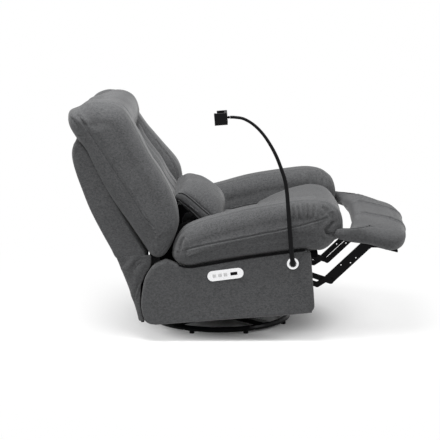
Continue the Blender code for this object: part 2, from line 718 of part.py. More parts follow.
def side_plates(frame, steel):
    """The mechanism's fixed plates: they carry the linkage in front and the back's pivots behind."""
    foot = RAIL_BOTTOM + RAIL_HEIGHT + SEAT_GAP
    top = DECK_BOTTOM - SEAT_GAP
    height = top - foot
    nose = DECK_FRONT - LINK_WIDTH / 2
    rear = RECLINE_Y + LINK_WIDTH
    eye = LINK_WIDTH * 0.6
    outline = [(REAR_RAIL_Y + RAIL_DEPTH / 2, foot), (rear, foot + height * 0.35),
               (RECLINE_Y + eye, RECLINE_Z - eye)]
    outline += [(RECLINE_Y + eye * math.cos(math.pi * k / 8), RECLINE_Z + eye * math.sin(math.pi * k / 8))
                for k in range(9)]
    outline += [(RECLINE_Y - eye, RECLINE_Z - 2 * eye), (REAR_RAIL_Y - RAIL_DEPTH * 0.6, top),
                (nose, top), (nose - LINK_WIDTH * 0.3, top - LINK_WIDTH * 0.4),
                (nose, top - LINK_WIDTH * 0.85), (nose + LINK_WIDTH * 1.6, top - LINK_WIDTH * 0.75),
                (FRONT_PIVOT[0] - LINK_WIDTH * 0.8, FRONT_PIVOT[1] - LINK_WIDTH * 0.3),
                (FRONT_PIVOT[0], FRONT_PIVOT[1] - LINK_WIDTH * 0.7),
                (REAR_PIVOT[0] + LINK_WIDTH * 0.4, REAR_PIVOT[1] - LINK_WIDTH * 0.7),
                (FRONT_RAIL_Y - RAIL_DEPTH / 2, foot), (FRONT_RAIL_Y + RAIL_DEPTH / 2, foot),
                (FRONT_RAIL_Y + RAIL_DEPTH, foot + height * 0.12),
                (REAR_RAIL_Y - RAIL_DEPTH, foot + height * 0.12),
                (REAR_RAIL_Y - RAIL_DEPTH / 2, foot)]
    for side, word in ((-1, "right"), (1, "left")):
        near, far = link_plane(1, side)
        pin = PIN_DIAMETER / 2
        pins = [boss(REAR_PIVOT, side, pin, 1, 2), boss((RECLINE_Y, RECLINE_Z), side, pin * 1.4, 1, 3)]
        holes = [(FRONT_PIVOT[0], FRONT_PIVOT[1], pin + PIVOT_CLEARANCE),
                 (nose + LINK_WIDTH * 1.2, top - LINK_WIDTH * 0.35, pin * 0.6)]
        builder = bmesh.new()
        plate_mesh(builder, outline[::-1], near, far, holes, pins)
        add_object(f"side_plate_{word}", builder, frame, steel)


def link(name, points, side, layer, frame, steel, holes=(), pins=()):
    """One flat steel link with round ends, holes and pins, in its own pivot's frame."""
    near, far = link_plane(layer, side)
    builder = bmesh.new()
    plate_mesh(builder, stadium(points, LINK_WIDTH), near, far, holes, pins)
    return add_object(name, builder, frame, steel)


def linkage(chassis, steel):
    """The scissor linkage on each side. Each link hangs in the frame of its own pivot."""
    relative = OUTER_LINK_ANGLE - FRONT_LINK_ANGLE
    short = FRONT_LINK_LENGTH - FRONT_LINK_CROSSING
    pin = PIN_DIAMETER / 2
    eye = pin + PIVOT_CLEARANCE
    front = empty("front_link_axis", chassis, (0.0, *FRONT_PIVOT), -FRONT_LINK_ANGLE)
    rear = empty("rear_link_axis", chassis, (0.0, *REAR_PIVOT), -REAR_LINK_ANGLE)
    outer = empty("outer_link_axis", front, (0.0, -FRONT_LINK_CROSSING, 0.0), -relative)
    inner = empty("inner_link_axis", front, (0.0, -FRONT_LINK_LENGTH, 0.0), -relative)
    foot = empty("footrest_axis", outer, (0.0, -OUTER_LINK_LENGTH, 0.0),
                 OUTER_LINK_ANGLE - FOOTREST_SLOPE)
    tail = (OUTER_LINK_TAIL * math.cos(OUTER_LINK_TAIL_ANGLE),
            -OUTER_LINK_TAIL * math.sin(OUTER_LINK_TAIL_ANGLE))
    crossing = (-FRONT_LINK_CROSSING, 0.0)
    tip = (-FRONT_LINK_LENGTH, 0.0)
    tail_turn = FRONT_LINK_ANGLE
    tail_y = (FRONT_PIVOT[0] - FRONT_LINK_CROSSING * math.cos(tail_turn)
              + tail[0] * math.cos(OUTER_LINK_ANGLE) + tail[1] * math.sin(OUTER_LINK_ANGLE))
    tail_z = (FRONT_PIVOT[1] + FRONT_LINK_CROSSING * math.sin(tail_turn)
              - tail[0] * math.sin(OUTER_LINK_ANGLE) + tail[1] * math.cos(OUTER_LINK_ANGLE))
    rear_length = math.hypot(tail_y - REAR_PIVOT[0], tail_z - REAR_PIVOT[1])
    loose = pin + 0.45 * LINK_THICKNESS
    turn = FOOTREST_SLOPE - FRONT_LINK_ANGLE
    second = (-short * math.cos(turn), -short * math.sin(turn))
    for side, word in ((-1, "right"), (1, "left")):
        link(f"front_link_{word}", [(0.0, 0.0), tip], side, 2, front, steel,
             pins=[boss((0.0, 0.0), side, pin, 2, 0), boss(tip, side, pin, 2, 0),
                   boss(crossing, side, pin, 2, 3)])
        link(f"rear_link_{word}", [(0.0, 0.0), (-rear_length, 0.0)], side, 2, rear, steel,
             holes=[(0.0, 0.0, eye), (-rear_length, 0.0, loose)])
        link(f"outer_link_{word}", [tail, (0.0, 0.0), (-OUTER_LINK_LENGTH, 0.0)], side, 3, outer, steel,
             holes=[(0.0, 0.0, eye), (-OUTER_LINK_LENGTH, 0.0, eye),
                    (-OUTER_LINK_LENGTH * 0.42, 0.0, pin * 0.6)],
             pins=[boss(tail, side, pin * 0.7, 3, 2)])
        link(f"inner_link_{word}", [(0.0, 0.0), (-OUTER_LINK_LENGTH, 0.0)], side, 0, inner, steel,
             holes=[(0.0, 0.0, eye), (-OUTER_LINK_LENGTH, 0.0, eye),
                    (-OUTER_LINK_LENGTH * 0.52, 0.0, pin * 0.6),
                    (-OUTER_LINK_LENGTH * 0.66, 0.0, pin * 0.6)])
        near, far = link_plane(2, side)
        builder = bmesh.new()
        half = LINK_WIDTH / 2
        top = FOOTREST_UNDERSIDE - SEAT_GAP
        nose = -FOOTREST_LENGTH * 0.5
        outline = [(half, -half * 0.6), (half, top), (nose, top), (nose, top - half * 0.6),
                   (second[0] - half, second[1] - half * 0.2), (second[0] - half * 0.6, second[1] - half * 0.8),
                   (second[0], second[1] - half), (0.0, -half)]
        plate_mesh(builder, outline, near, far, (),
                   [boss((0.0, 0.0), side, pin, 2, 3), boss(second, side, pin, 2, 0)])
        bracket = add_object(f"footrest_bracket_{word}", builder, foot, steel)
        flange = bmesh.new()
        wide = LINK_WIDTH * 1.4
        edges = (side * LINK_TRACK, side * (LINK_TRACK - wide))
        box_mesh(flange, (min(edges[0], edges[1], near), nose, top - LINK_THICKNESS * 0.75),
                 (max(edges[0], edges[1], far), half, top))
        boolean(bracket, add_object(f"bracket_flange_tool_{word}", flange, foot, steel), "UNION")
    return front, foot


FOOTREST_UNDERSIDE = 0.0225
BOARD_THICKNESS = 0.009


def footrest(frame, cloth, board):
    """The footrest's board and its U-shaped pad, whose ears reach round the arms."""
    wide = FOOTREST_EARS / 2
    half = FOOTREST_WIDTH / 2
    board_low = FOOTREST_UNDERSIDE
    board_high = board_low + BOARD_THICKNESS
    box("footrest_board", (-half * 0.86, -FOOTREST_LENGTH * 0.58, board_low),
        (half * 0.86, FOOTREST_LENGTH * 0.02, board_high), frame, board, BOARD_THICKNESS / 5)
    low = board_high + SEAT_GAP
    shares = ((0.0, -0.72), (0.20, -0.715), (0.40, -0.69), (0.58, -0.64), (0.70, -0.58), (0.785, -0.48),
              (0.83, -0.35), (0.85, -0.19), (0.875, -0.02), (0.915, 0.20), (0.965, 0.40), (0.988, 0.53),
              (0.985, 0.61), (0.955, 0.64), (0.925, 0.58), (0.890, 0.47), (0.83, 0.37), (0.74, 0.30),
              (0.60, 0.235), (0.42, 0.175), (0.20, 0.130))
    right = [(x * wide, y * FOOTREST_LENGTH) for x, y in shares]
    outline = right + [(0.0, 0.12 * FOOTREST_LENGTH)] + [(-x, y) for x, y in right[:0:-1]]
    half_thick = FOOTREST_THICKNESS / 2

    def lay_flat(point):
        edge_share = min(1.0, (point.y / wide) ** 2)
        ear = min(1.0, max(0.0, point.z / (FOOTREST_LENGTH * 0.6)))
        level = point.x + ear * edge_share * half_thick * 0.25
        return Vector((point.y, point.z, level))

    pillow("footrest_pad", outline, frame, cloth, low + half_thick, half_thick, half_thick * 0.86,
           None, 3, 0.0, lay_flat, half_thick * 0.22)


def torque_tube(frame, steel):
    """The cross tube that turns both front links, with its slotted crank."""
    reach = LINK_TRACK - SEAT_GAP
    builder = bmesh.new()
    cylinder(builder, (-reach, 0, 0), (reach, 0, 0), PIN_DIAMETER, 20)
    tube = add_object("torque_tube", builder, frame, steel)
    crank = bmesh.new()
    middle = CRANK_RADIUS / math.cos(CRANK_SWING)
    down = math.pi / 2 + FRONT_LINK_ANGLE - CRANK_SWING
    along = Vector((-math.cos(down), -math.sin(down)))
    slot_half = PIN_DIAMETER / 2 + 0.9 * LINK_THICKNESS
    outline = stadium([(0, 0), along * (middle + LINK_WIDTH * 0.25)], LINK_WIDTH * 1.3)
    face = ACTUATOR_X + LINK_THICKNESS * 3
    plate_mesh(crank, outline, face, face + LINK_THICKNESS)
    boolean(tube, add_object("crank_tool", crank, frame, steel), "UNION")
    slot = bmesh.new()
    line = stadium([along * (CRANK_RADIUS - PIN_DIAMETER / 3), along * middle], 2 * slot_half)
    plate_mesh(slot, line, face - CUT_OVERRUN / 2, face + LINK_THICKNESS + CUT_OVERRUN / 2)
    boolean(tube, add_object("crank_slot_tool", slot, frame, steel), "DIFFERENCE")


CRANK_SWING = math.radians(39.0)
ROD_DIAMETER = 0.012
ROD_LENGTH = 0.300
GUIDE_DIAMETER = 0.024
GUIDE_FRONT = -0.160


def actuator(frame, steel, dark):
    """The linear actuator: gear housing with motor, guide tube and push rod."""
    z = FRONT_PIVOT[1] - CRANK_RADIUS
    back = REAR_RAIL_Y - RAIL_DEPTH / 2 - SEAT_GAP
    half = GUIDE_DIAMETER * 1.3
    depth = MOTOR_DIAMETER
    box("actuator_housing", (ACTUATOR_X - half, back - depth, RAIL_BOTTOM),
        (ACTUATOR_X + half, back, z + half), frame, dark, half / 6)
    motor = bmesh.new()
    start = ACTUATOR_X - half - SEAT_GAP
    middle = back - depth / 2
    radius = MOTOR_DIAMETER / 2
    cylinder(motor, (start, middle, z), (start - MOTOR_LENGTH, middle, z), radius, 28)
    add_object("actuator_motor", motor, frame, dark)
    guide = bmesh.new()
    guide_back = back - depth - SEAT_GAP
    cylinder(guide, (ACTUATOR_X, guide_back, z), (ACTUATOR_X, GUIDE_FRONT, z), GUIDE_DIAMETER / 2, 20)
    tube = add_object("actuator_guide", guide, frame, steel)
    bore = bmesh.new()
    cylinder(bore, (ACTUATOR_X, guide_back - GUIDE_DIAMETER, z), (ACTUATOR_X, GUIDE_FRONT - CUT_OVERRUN, z),
             ROD_DIAMETER / 2 + PIVOT_CLEARANCE, 20)
    boolean(tube, add_object("guide_bore_tool", bore, frame, steel), "DIFFERENCE")
    rod = bmesh.new()
    tip = FRONT_PIVOT[0] - CRANK_RADIUS * math.tan(CRANK_SWING)
    cylinder(rod, (ACTUATOR_X, tip - ROD_DIAMETER / 2, z), (ACTUATOR_X, tip + ROD_LENGTH, z),
             ROD_DIAMETER / 2, 20)
    rod_object = add_object("push_rod", rod, frame, steel)
    pin = bmesh.new()
    cylinder(pin, (ACTUATOR_X, tip, z), (ACTUATOR_X + LINK_THICKNESS * 4.6, tip, z), PIN_DIAMETER * 0.4, 16)
    boolean(rod_object, add_object("rod_pin_tool", pin, frame, steel), "UNION")


BUTTON_SIZE = 0.013
BUTTON_PITCH = 0.024
BUTTON_PROUD = 0.0015


def controls(frame, bright, dark):
    """The control plate, its three push buttons and the charging sockets."""
    outer = -BODY_WIDTH / 2
    face = outer - SEAT_GAP - PLATE_THICKNESS
    along = Vector((math.cos(PLATE_TILT), -math.sin(PLATE_TILT)))
    across = Vector((along.y * -1, along.x))
    middle = Vector((PLATE_Y, PLATE_Z))
    plate = bmesh.new()
    plate_mesh(plate, stadium(plate_axis(1.0), PLATE_HEIGHT, 12), face, outer - SEAT_GAP)
    plate_object = add_object("control_plate", plate, frame, bright)
    half = BUTTON_SIZE / 2
    places = [middle + along * BUTTON_PITCH * (2.0 - k) for k in range(3)]
    socket_middle = middle - along * BUTTON_PITCH * 1.5
    socket_half = (BUTTON_PITCH * 0.6, half)

    def tile(centre, size_along, size_across):
        corners = ((-1, -1), (1, -1), (1, 1), (-1, 1))
        return [centre + along * size_along * a + across * size_across * b for a, b in corners]

    gap = PIVOT_CLEARANCE
    windows = [(p, half + gap, half + gap) for p in places]
    windows.append((socket_middle, socket_half[0] + gap, socket_half[1] + gap))
    for k, (p, a, b) in enumerate(windows):
        window = bmesh.new()
        plate_mesh(window, tile(p, a, b), face - CUT_OVERRUN, outer + CUT_OVERRUN / 2)
        boolean(plate_object, add_object(f"window_tool_{k}", window, frame, bright), "DIFFERENCE")
    back = outer + POCKET_DEPTH - BUTTON_TRAVEL - 4 * SEAT_GAP
    names = ("recline_button", "footrest_button", "return_button")
    rim_back = outer + gap + PLATE_THICKNESS
    steps = ((face - BUTTON_PROUD, 0.90), (face - BUTTON_PROUD * 0.7, 1.0), (outer + gap, 1.0),
             (outer + gap, 1.25), (rim_back, 1.25), (rim_back, 0.8), (back, 0.8))
    for name, p in zip(names, places):
        cap = bmesh.new()
        rows = [[cap.verts.new((level, *corner)) for corner in tile(p, half * share, half * share)]
                for level, share in steps]
        for low, high in zip(rows, rows[1:]):
            for k in range(4):
                m = (k + 1) % 4
                cap.faces.new((low[k], low[m], high[m], high[k]))
        cap.faces.new(rows[0])
        cap.faces.new(rows[-1])
        add_object(name, cap, frame, bright)
    block = bmesh.new()
    plate_mesh(block, tile(socket_middle, *socket_half), face, outer + POCKET_DEPTH - SEAT_GAP)
    sockets = add_object("charging_sockets", block, frame, dark)
    slot = bmesh.new()
    slot_middle = socket_middle - along * socket_half[0] * 0.45
    plate_mesh(slot, tile(slot_middle, half * 0.33, half * 0.82), face - CUT_OVERRUN,
               face + PLATE_THICKNESS)
    boolean(sockets, add_object("slot_tool", slot, frame, dark), "DIFFERENCE")
    jack = bmesh.new()
    jack_middle = socket_middle + along * socket_half[0] * 0.5
    cylinder(jack, (face - CUT_OVERRUN, *jack_middle), (face + PLATE_THICKNESS, *jack_middle), half * 0.4, 16)
    boolean(sockets, add_object("jack_tool", jack, frame, dark), "DIFFERENCE")


FLANGE_THICKNESS = 0.006
NECK_X = -BODY_WIDTH / 2 - 0.0425
NECK_ROUTE_SHARES = ((0.000, 0.000, 0.000), (0.10, 0.000, 0.000), (0.22, 0.000, 0.000), (0.60, 0.001, 0.006),
                     (0.89, 0.003, 0.020), (1.00, 0.006, 0.042), (1.03, 0.012, 0.105),
                     (1.05, 0.014, 0.200), (1.05, 0.014, 0.300),
                     (1.03, 0.013, 0.400), (1.00, 0.014, 0.480), (0.98, 0.032, 0.560),
                     (0.95, 0.090, 0.640), (0.92, 0.165, 0.722), (0.90, 0.265, 0.800),
                     (0.88, 0.400, 0.878), (0.86, 0.560, 0.940), (0.85, 0.740, 0.982),
                     (0.85, 0.900, 0.996), (0.85, 1.000, 1.000))
NECK_REACH = 0.217
NECK_HEIGHT = 0.655


def phone_arm(chassis, dark, bright):
    """The flange in the side panel, the turning plug, the bent neck and its spring clamp."""
    outer = -BODY_WIDTH / 2
    radius = NECK_DIAMETER / 2
    ring = bmesh.new()
    count = 32
    rows = []
    flange = FLANGE_DIAMETER / 2
    bore = radius + PIVOT_CLEARANCE
    face = outer - SEAT_GAP
    profile = ((flange, face), (flange * 0.96, face - FLANGE_THICKNESS * 0.6),
               (flange * 0.75, face - FLANGE_THICKNESS), (flange * 0.6, face - FLANGE_THICKNESS),
               (bore, face - FLANGE_THICKNESS * 0.5), (bore, face))
    for size, level in profile:
        rows.append([ring.verts.new((level, FLANGE_Y + size * math.cos(2 * math.pi * k / count),
                                     FLANGE_Z + size * math.sin(2 * math.pi * k / count)))
                     for k in range(count)])
    for a, b in zip(rows, rows[1:] + rows[:1]):
        for k in range(count):
            m = (k + 1) % count
            ring.faces.new((a[k], a[m], b[m], b[k]))
    add_object("arm_flange", ring, chassis, bright)
    axis = empty("phone_arm_axis", chassis, (outer, FLANGE_Y, FLANGE_Z))
    plug = bmesh.new()
    nose = -FLANGE_THICKNESS - radius * 0.4
    cylinder(plug, (PANEL_THICKNESS * 0.55, 0, 0), (nose, 0, 0), radius, 24)
    add_object("arm_plug", plug, axis, dark)
    start = Vector((nose - SEAT_GAP, 0.0, 0.0))
    out = NECK_X - outer - start.x
    route = [(start.x + out * a, NECK_REACH * b, NECK_HEIGHT * c) for a, b, c in NECK_ROUTE_SHARES]
    points = smooth_line(route, 2)
    radii = []
    total = len(points) - 1
    for i in range(total + 1):
        share = i / total
        radii.append(radius + (NECK_TIP_DIAMETER - NECK_DIAMETER) / 2 * min(1.0, share * 1.15))
    builder = bmesh.new()
    sweep(builder, points, radii, 8)
    add_object("phone_neck", builder, axis, dark)
    barrel = NECK_TIP_DIAMETER * 0.4
    tip = points[-1] + Vector((0.0, barrel + SEAT_GAP, 0.0))
    clamp = empty("clamp_axis", axis, tip)
    half = CLAMP_WIDTH / 2
    tall = CLAMP_HEIGHT / 2
    wall = CLAMP_DEPTH / 7
    gap = SEAT_GAP
    front = NECK_TIP_DIAMETER / 2
    body = box("clamp_body", (-half, front, -tall), (half * 0.62, front + wall * 1.6, tall), clamp, dark,
               wall / 5)
    jaw = bmesh.new()
    box_mesh(jaw, (-half, front, -tall), (-half + wall * 1.5, front + CLAMP_DEPTH, tall))
    boolean(body, add_object("fixed_jaw_tool", jaw, clamp, dark), "UNION")
    lip = bmesh.new()
    box_mesh(lip, (-half, front + CLAMP_DEPTH - wall, -tall),
             (-half + wall * 2.3, front + CLAMP_DEPTH, tall))
    boolean(body, add_object("fixed_lip_tool", lip, clamp, dark), "UNION")
    knuckle = bmesh.new()
    cylinder(knuckle, (-barrel, 0, 0), (barrel, 0, 0), barrel, 16)
    shank = bmesh.new()
    box_mesh(shank, (-barrel * 0.8, barrel * 0.2, -barrel * 0.7), (barrel * 0.8, front + wall, barrel * 0.7))
    boolean(body, add_object("shank_tool", shank, clamp, dark), "UNION")
    boolean(body, add_object("knuckle_tool", knuckle, clamp, dark), "UNION")
    slide = bmesh.new()
    box_mesh(slide, (half * 0.62 + gap, front, -tall), (half, front + CLAMP_DEPTH * 0.8, tall))
    jaw_object = add_object("clamp_jaw", slide, clamp, dark)
    hollow = bmesh.new()
    box_mesh(hollow, (half * 0.62 - wall, front + wall * 1.6, -tall - gap),
             (half - wall * 1.3, front + CLAMP_DEPTH * 0.8 - wall, tall + gap))
    boolean(jaw_object, add_object("jaw_hollow_tool", hollow, clamp, dark), "DIFFERENCE")


WING_SHARES = ((0.931, 0.985), (0.859, 1.0), (0.698, 0.994), (0.496, 0.998), (0.347, 0.973), (0.173, 0.934),
               (0.065, 0.882), (0.024, 0.808), (0.028, 0.709), (0.036, 0.557), (0.010, 0.451),
               (0.004, 0.335), (0.045, 0.225), (0.135, 0.145), (0.235, 0.100), (0.420, 0.044),
               (0.589, 0.010), (0.718, 0.006), (0.810, 0.034), (0.845, 0.090), (0.899, 0.261),
               (0.965, 0.464), (0.965, 0.644), (0.952, 0.755), (0.980, 0.841), (0.990, 0.930))
CUSHION_SHARES = ((0.31, 0.93), (0.30, 0.80), (0.215, 0.60), (0.095, 0.36), (0.0, 0.15), (0.04, 0.04),
                  (0.22, 0.0), (0.62, 0.0), (0.96, 0.02), (1.0, 0.12), (1.0, 0.50), (1.0, 0.90),
                  (0.93, 0.985), (0.60, 1.0))
HEADREST_SHARES = ((0.075, 0.06), (0.015, 0.20), (0.0, 0.41), (0.020, 0.58), (0.125, 0.76), (0.33, 0.90),
                   (0.53, 0.985), (0.74, 1.0), (0.92, 0.93), (0.985, 0.74), (0.96, 0.52), (0.86, 0.44),
                   (0.70, 0.435), (0.630, 0.34), (0.635, 0.16), (0.60, 0.03), (0.30, 0.0))
SHELL_SHARES = ((0.0, 0.06), (0.0, 0.50), (0.0, 0.90), (0.08, 0.985), (0.30, 0.965), (0.50, 0.91),
                (0.66, 0.82), (0.81, 0.67), (0.95, 0.45), (1.0, 0.25), (0.985, 0.10), (0.95, 0.0),
                (0.50, 0.0), (0.05, 0.0))
BACK_FRONT = -0.136
BACK_FOOT = -0.080
SHELL_FOOT = 0.012
CUSHION_FOOT = 0.030
CUSHION_HEIGHT = 0.395
HEADREST_DEPTH = 0.240
HEADREST_HEIGHT = 0.205
FRAME_FRONT = 0.020
FRAME_FOOT = -0.030
FRAME_TOP = 0.5089
FRAME_CROSS = 0.040
FRAME_CROSS_COUNT = 4


def back(frame, cloth, board, steel):
    """The reclining back: wood frame, hinge plates, outer shell, wings, cushion and headrest."""
    shell_front = BACK_FRONT + BACK_DEPTH + SEAT_GAP
    inner_wing = WING_TRACK - WING_WIDTH / 2
    rail_out = inner_wing + WING_WIDTH * 0.007
    rail_in = LINK_TRACK + 3 * (LINK_THICKNESS + SEAT_GAP)
    rear = shell_front - 2 * SEAT_GAP
    builder = bmesh.new()
    box_mesh(builder, (-rail_out, FRAME_FRONT, FRAME_FOOT), (-rail_in, rear, FRAME_TOP))
    rail = add_object("back_frame", builder, frame, board)
    parts = [((rail_in, FRAME_FRONT, FRAME_FOOT), (rail_out, rear, FRAME_TOP))]
    span = FRAME_TOP - CUSHION_FOOT - FRAME_CROSS
    for k in range(FRAME_CROSS_COUNT):
        low = CUSHION_FOOT + span * k / (FRAME_CROSS_COUNT - 1)
        parts.append(((-rail_out + SEAT_GAP, FRAME_FRONT, low), (rail_out - SEAT_GAP, rear, low + FRAME_CROSS)))
    for k, (low, high) in enumerate(parts):
        tool = bmesh.new()
        box_mesh(tool, low, high)
        boolean(rail, add_object(f"frame_tool_{k}", tool, frame, board), "UNION")
    eye = LINK_WIDTH * 0.6
    pin = PIN_DIAMETER * 0.7 + PIVOT_CLEARANCE
    outline = [(eye * math.cos(math.pi * (1 + k / 8)), eye * math.sin(math.pi * (1 + k / 8))) for k in range(9)]
    outline += [(FRAME_FRONT + eye, CUSHION_FOOT * 0.5), (rear - eye, CUSHION_FOOT),
                (rear - eye, CUSHION_FOOT + FRAME_CROSS * 3), (FRAME_FRONT + eye, CUSHION_FOOT + FRAME_CROSS * 3),
                (FRAME_FRONT + eye * 0.2, CUSHION_FOOT * 0.8), (-eye, eye * 0.9)]
    for side, word in ((-1, "right"), (1, "left")):
        near, far = link_plane(2, side)
        plate = bmesh.new()
        plate_mesh(plate, outline, near, far, [(0.0, 0.0, pin)])
        add_object(f"back_hinge_{word}", plate, frame, steel)
        notch = bmesh.new()
        box_mesh(notch, (near - SEAT_GAP, FRAME_FRONT - CUT_OVERRUN, CUSHION_FOOT - CUT_OVERRUN),
                 (far + SEAT_GAP, rear - eye + SEAT_GAP, CUSHION_FOOT + FRAME_CROSS + CUT_OVERRUN))
        boolean(rail, add_object(f"hinge_notch_tool_{word}", notch, frame, board), "DIFFERENCE")
        crown = WING_WIDTH * 0.04
        wing = from_shares(WING_SHARES, (BACK_FRONT, BACK_FOOT), (BACK_DEPTH, BACK_HEIGHT))
        pillow(f"back_wing_{word}", wing, frame, cloth, side * WING_TRACK, WING_WIDTH / 2 - crown,
               WING_WIDTH * 0.24, 40, 3, crown)
    shell = from_shares(SHELL_SHARES, (shell_front, SHELL_FOOT), (SHELL_THICKNESS, SHELL_HEIGHT))
    pillow("back_shell", shell, frame, cloth, 0.0, SHELL_WIDTH / 2, SHELL_THICKNESS * 0.3, 32, 2, 0.0,
           inwards=SHELL_THICKNESS * 0.12)
    wide = inner_wing - SEAM_GAP
    depth = FRAME_FRONT - SEAT_GAP - BACK_FRONT - SHELL_THICKNESS * 0.3
    cushion = from_shares(CUSHION_SHARES, (FRAME_FRONT - 3 * SEAT_GAP - depth, CUSHION_FOOT),
                          (depth, CUSHION_HEIGHT))
    pillow("back_cushion", cushion, frame, cloth, 0.0, wide, depth * 0.15, 28, 2, 0.0)
    head = from_shares(HEADREST_SHARES, (BACK_FRONT - SEAM_GAP, CUSHION_FOOT + CUSHION_HEIGHT + SEAM_GAP),
                       (HEADREST_DEPTH, HEADREST_HEIGHT))
    pillow("headrest", head, frame, cloth, 0.0, wide, depth * 0.15, 30, 2, 0.0)


SKIRT_THICKNESS = 0.005
SKIRT_SHARES = ((0.0, 0.0, -0.115), (0.20, 0.12, -0.115), (0.52, 0.44, -0.225), (0.71, 0.66, -0.40),
                (0.87, 0.84, -0.45), (1.0, 1.0, -0.34))
SKIRT_FOOT = 0.114
SKIRT_FOOT_Y = 0.3745


def skirt(frame, cloth, board):
    """The loose cloth between the back's shell and the chassis, and the board that holds its foot."""
    turn = RECLINE_ANGLE
    shell_rear = BACK_FRONT + BACK_DEPTH + SHELL_THICKNESS * 0.95
    top_y = RECLINE_Y + shell_rear * math.cos(turn) + SHELL_FOOT * math.sin(turn)
    top_z = RECLINE_Z - shell_rear * math.sin(turn) + SHELL_FOOT * math.cos(turn)
    half = SHELL_WIDTH / 2
    corner = SHELL_THICKNESS * 0.3
    rows = []
    builder = bmesh.new()
    for height, back_share, side_share in SKIRT_SHARES:
        z = SKIRT_FOOT + (top_z - SKIRT_FOOT) * height
        rear_y = SKIRT_FOOT_Y + (top_y - SKIRT_FOOT_Y) * back_share
        front_y = SKIRT_FOOT_Y + side_share * SHELL_THICKNESS
        round_off = min(corner, (rear_y - front_y) * 0.6)
        loop = []
        for offset in (0.0, SKIRT_THICKNESS):
            w = half - offset
            r = round_off - offset * 0.5
            line = [(-w, front_y)]
            for k in range(5):
                a = math.pi * (1.0 - k / 8)
                line.append((-w + r + r * math.cos(a), rear_y - offset - r + r * math.sin(a)))
            mirrored = [(-x, y) for x, y in reversed(line)]
            loop.append(line + mirrored)
        ring = loop[0] + loop[1][::-1]
        row = []
        for x, y in ring:
            lift = max(0.0, height - SKIRT_SHARES[-2][0]) / (1.0 - SKIRT_SHARES[-2][0])
            row.append(builder.verts.new((x, y, z + lift * ((rear_y - y) * math.tan(turn) - 2 * SEAT_GAP))))
        rows.append(row)
    for low, high in zip(rows, rows[1:]):
        for k in range(len(low)):
            m = (k + 1) % len(low)
            builder.faces.new((low[k], low[m], high[m], high[k]))
    count = len(rows[0])
    for row in (rows[0], rows[-1]):
        for k in range(count // 2 - 1):
            builder.faces.new((row[k], row[k + 1], row[count - 2 - k], row[count - 1 - k]))
    add_object("back_skirt", builder, frame, cloth)
    wide = BODY_WIDTH / 2 - PANEL_THICKNESS - SEAT_GAP
    rear = SKIRT_FOOT_Y - SKIRT_THICKNESS - SEAT_GAP
    thick = DECK_THICKNESS * 0.65
    box("rear_board", (-wide, rear - thick, PANEL_BOTTOM + SEAM_GAP), (wide, rear, PANEL_BOTTOM + RAIL_HEIGHT * 3),
        frame, board, thick / 6)


LUMBAR_WIDTH = 0.430
LUMBAR_REAR = 0.19065
LUMBAR_DEPTH = 0.214
LUMBAR_HEIGHT = 0.203
LUMBAR_SHARES = ((1.0, 0.75), (0.935, 0.85), (0.72, 1.0), (0.48, 0.965), (0.24, 0.81), (0.065, 0.62),
                 (0.0, 0.39), (0.04, 0.17), (0.16, 0.035), (0.34, 0.0), (0.47, 0.075), (0.67, 0.27),
                 (0.81, 0.445), (0.945, 0.60))


def lumbar(chassis, cloth):
    """The loose boxed pillow that stands on the seat and leans on the back."""
    foot = DECK_BOTTOM + DECK_THICKNESS + 0.6 * (SEAT_CROWN - DECK_BOTTOM - DECK_THICKNESS)
    axis = empty("lumbar_axis", chassis, (0.0, LUMBAR_REAR - LUMBAR_DEPTH * 0.75, foot + LUMBAR_HEIGHT * 0.2))
    low = (-LUMBAR_DEPTH * 0.25, -LUMBAR_HEIGHT * 0.2)
    outline = from_shares(LUMBAR_SHARES, low, (LUMBAR_DEPTH, LUMBAR_HEIGHT))
    half = LUMBAR_WIDTH / 2

    def draw_in(point):
        share = min(1.0, abs(point.x) / half)
        squeeze = 1.0 - 0.22 * share ** 3
        middle_y = LUMBAR_DEPTH * 0.27
        middle_z = LUMBAR_HEIGHT * 0.30
        point.y = middle_y + (point.y - middle_y) * squeeze
        point.z = middle_z + (point.z - middle_z) * squeeze
        return point

    pillow("lumbar_pillow", outline, axis, cloth, 0.0, half * 0.97, half * 0.14, 28, 3, half * 0.03, draw_in)


def build():
    """Make every piece in its own frame."""
    clear_scene()
    steel = material("black_steel", (0.012, 0.012, 0.013), 0.35, 0.6)
    bright = material("bright_metal", (0.75, 0.75, 0.76), 0.25, 0.9)
    dark = material("black_plastic", (0.02, 0.02, 0.021), 0.5)
    board = material("plywood", (0.35, 0.24, 0.14), 0.7)
    cloth = material("grey_fabric", (0.10, 0.10, 0.105), 0.95)
    floor = empty("swivel_centre", None, (SWIVEL_X, SWIVEL_Y, 0.0))
    hub_top = base_ring(floor, steel)
    turning = empty("swivel_axis", floor, (0.0, 0.0, 0.0))
    tread_top, plate_top = turntable(turning, hub_top, steel, bright)
    rock_height = tread_top + SEAT_GAP + ROCKER_RADIUS
    rock = empty("rock_axis", turning, (0.0, 0.0, rock_height), -ROCK_BACK_ANGLE)
    chassis = empty("chassis", rock, (0.0, 0.0, -rock_height))
    spring_seat = rocker(chassis, rock_height, steel)
    rocker_springs(turning, plate_top, spring_seat, rock_height, bright)
    rails(chassis, steel)
    side_plates(chassis, steel)
    side_panels(chassis, cloth)
    arm_pads(chassis, cloth)
    seat(chassis, cloth, board)
    lumbar(chassis, cloth)
    front, foot = linkage(chassis, steel)
    torque_tube(front, steel)
    footrest(foot, cloth, board)
    actuator(chassis, steel, dark)
    controls(chassis, bright, dark)
    phone_arm(chassis, dark, bright)
    recline = empty("recline_axis", chassis, (0.0, RECLINE_Y, RECLINE_Z), -RECLINE_ANGLE)
    back(recline, cloth, board, steel)
    skirt(chassis, cloth, board)


build()
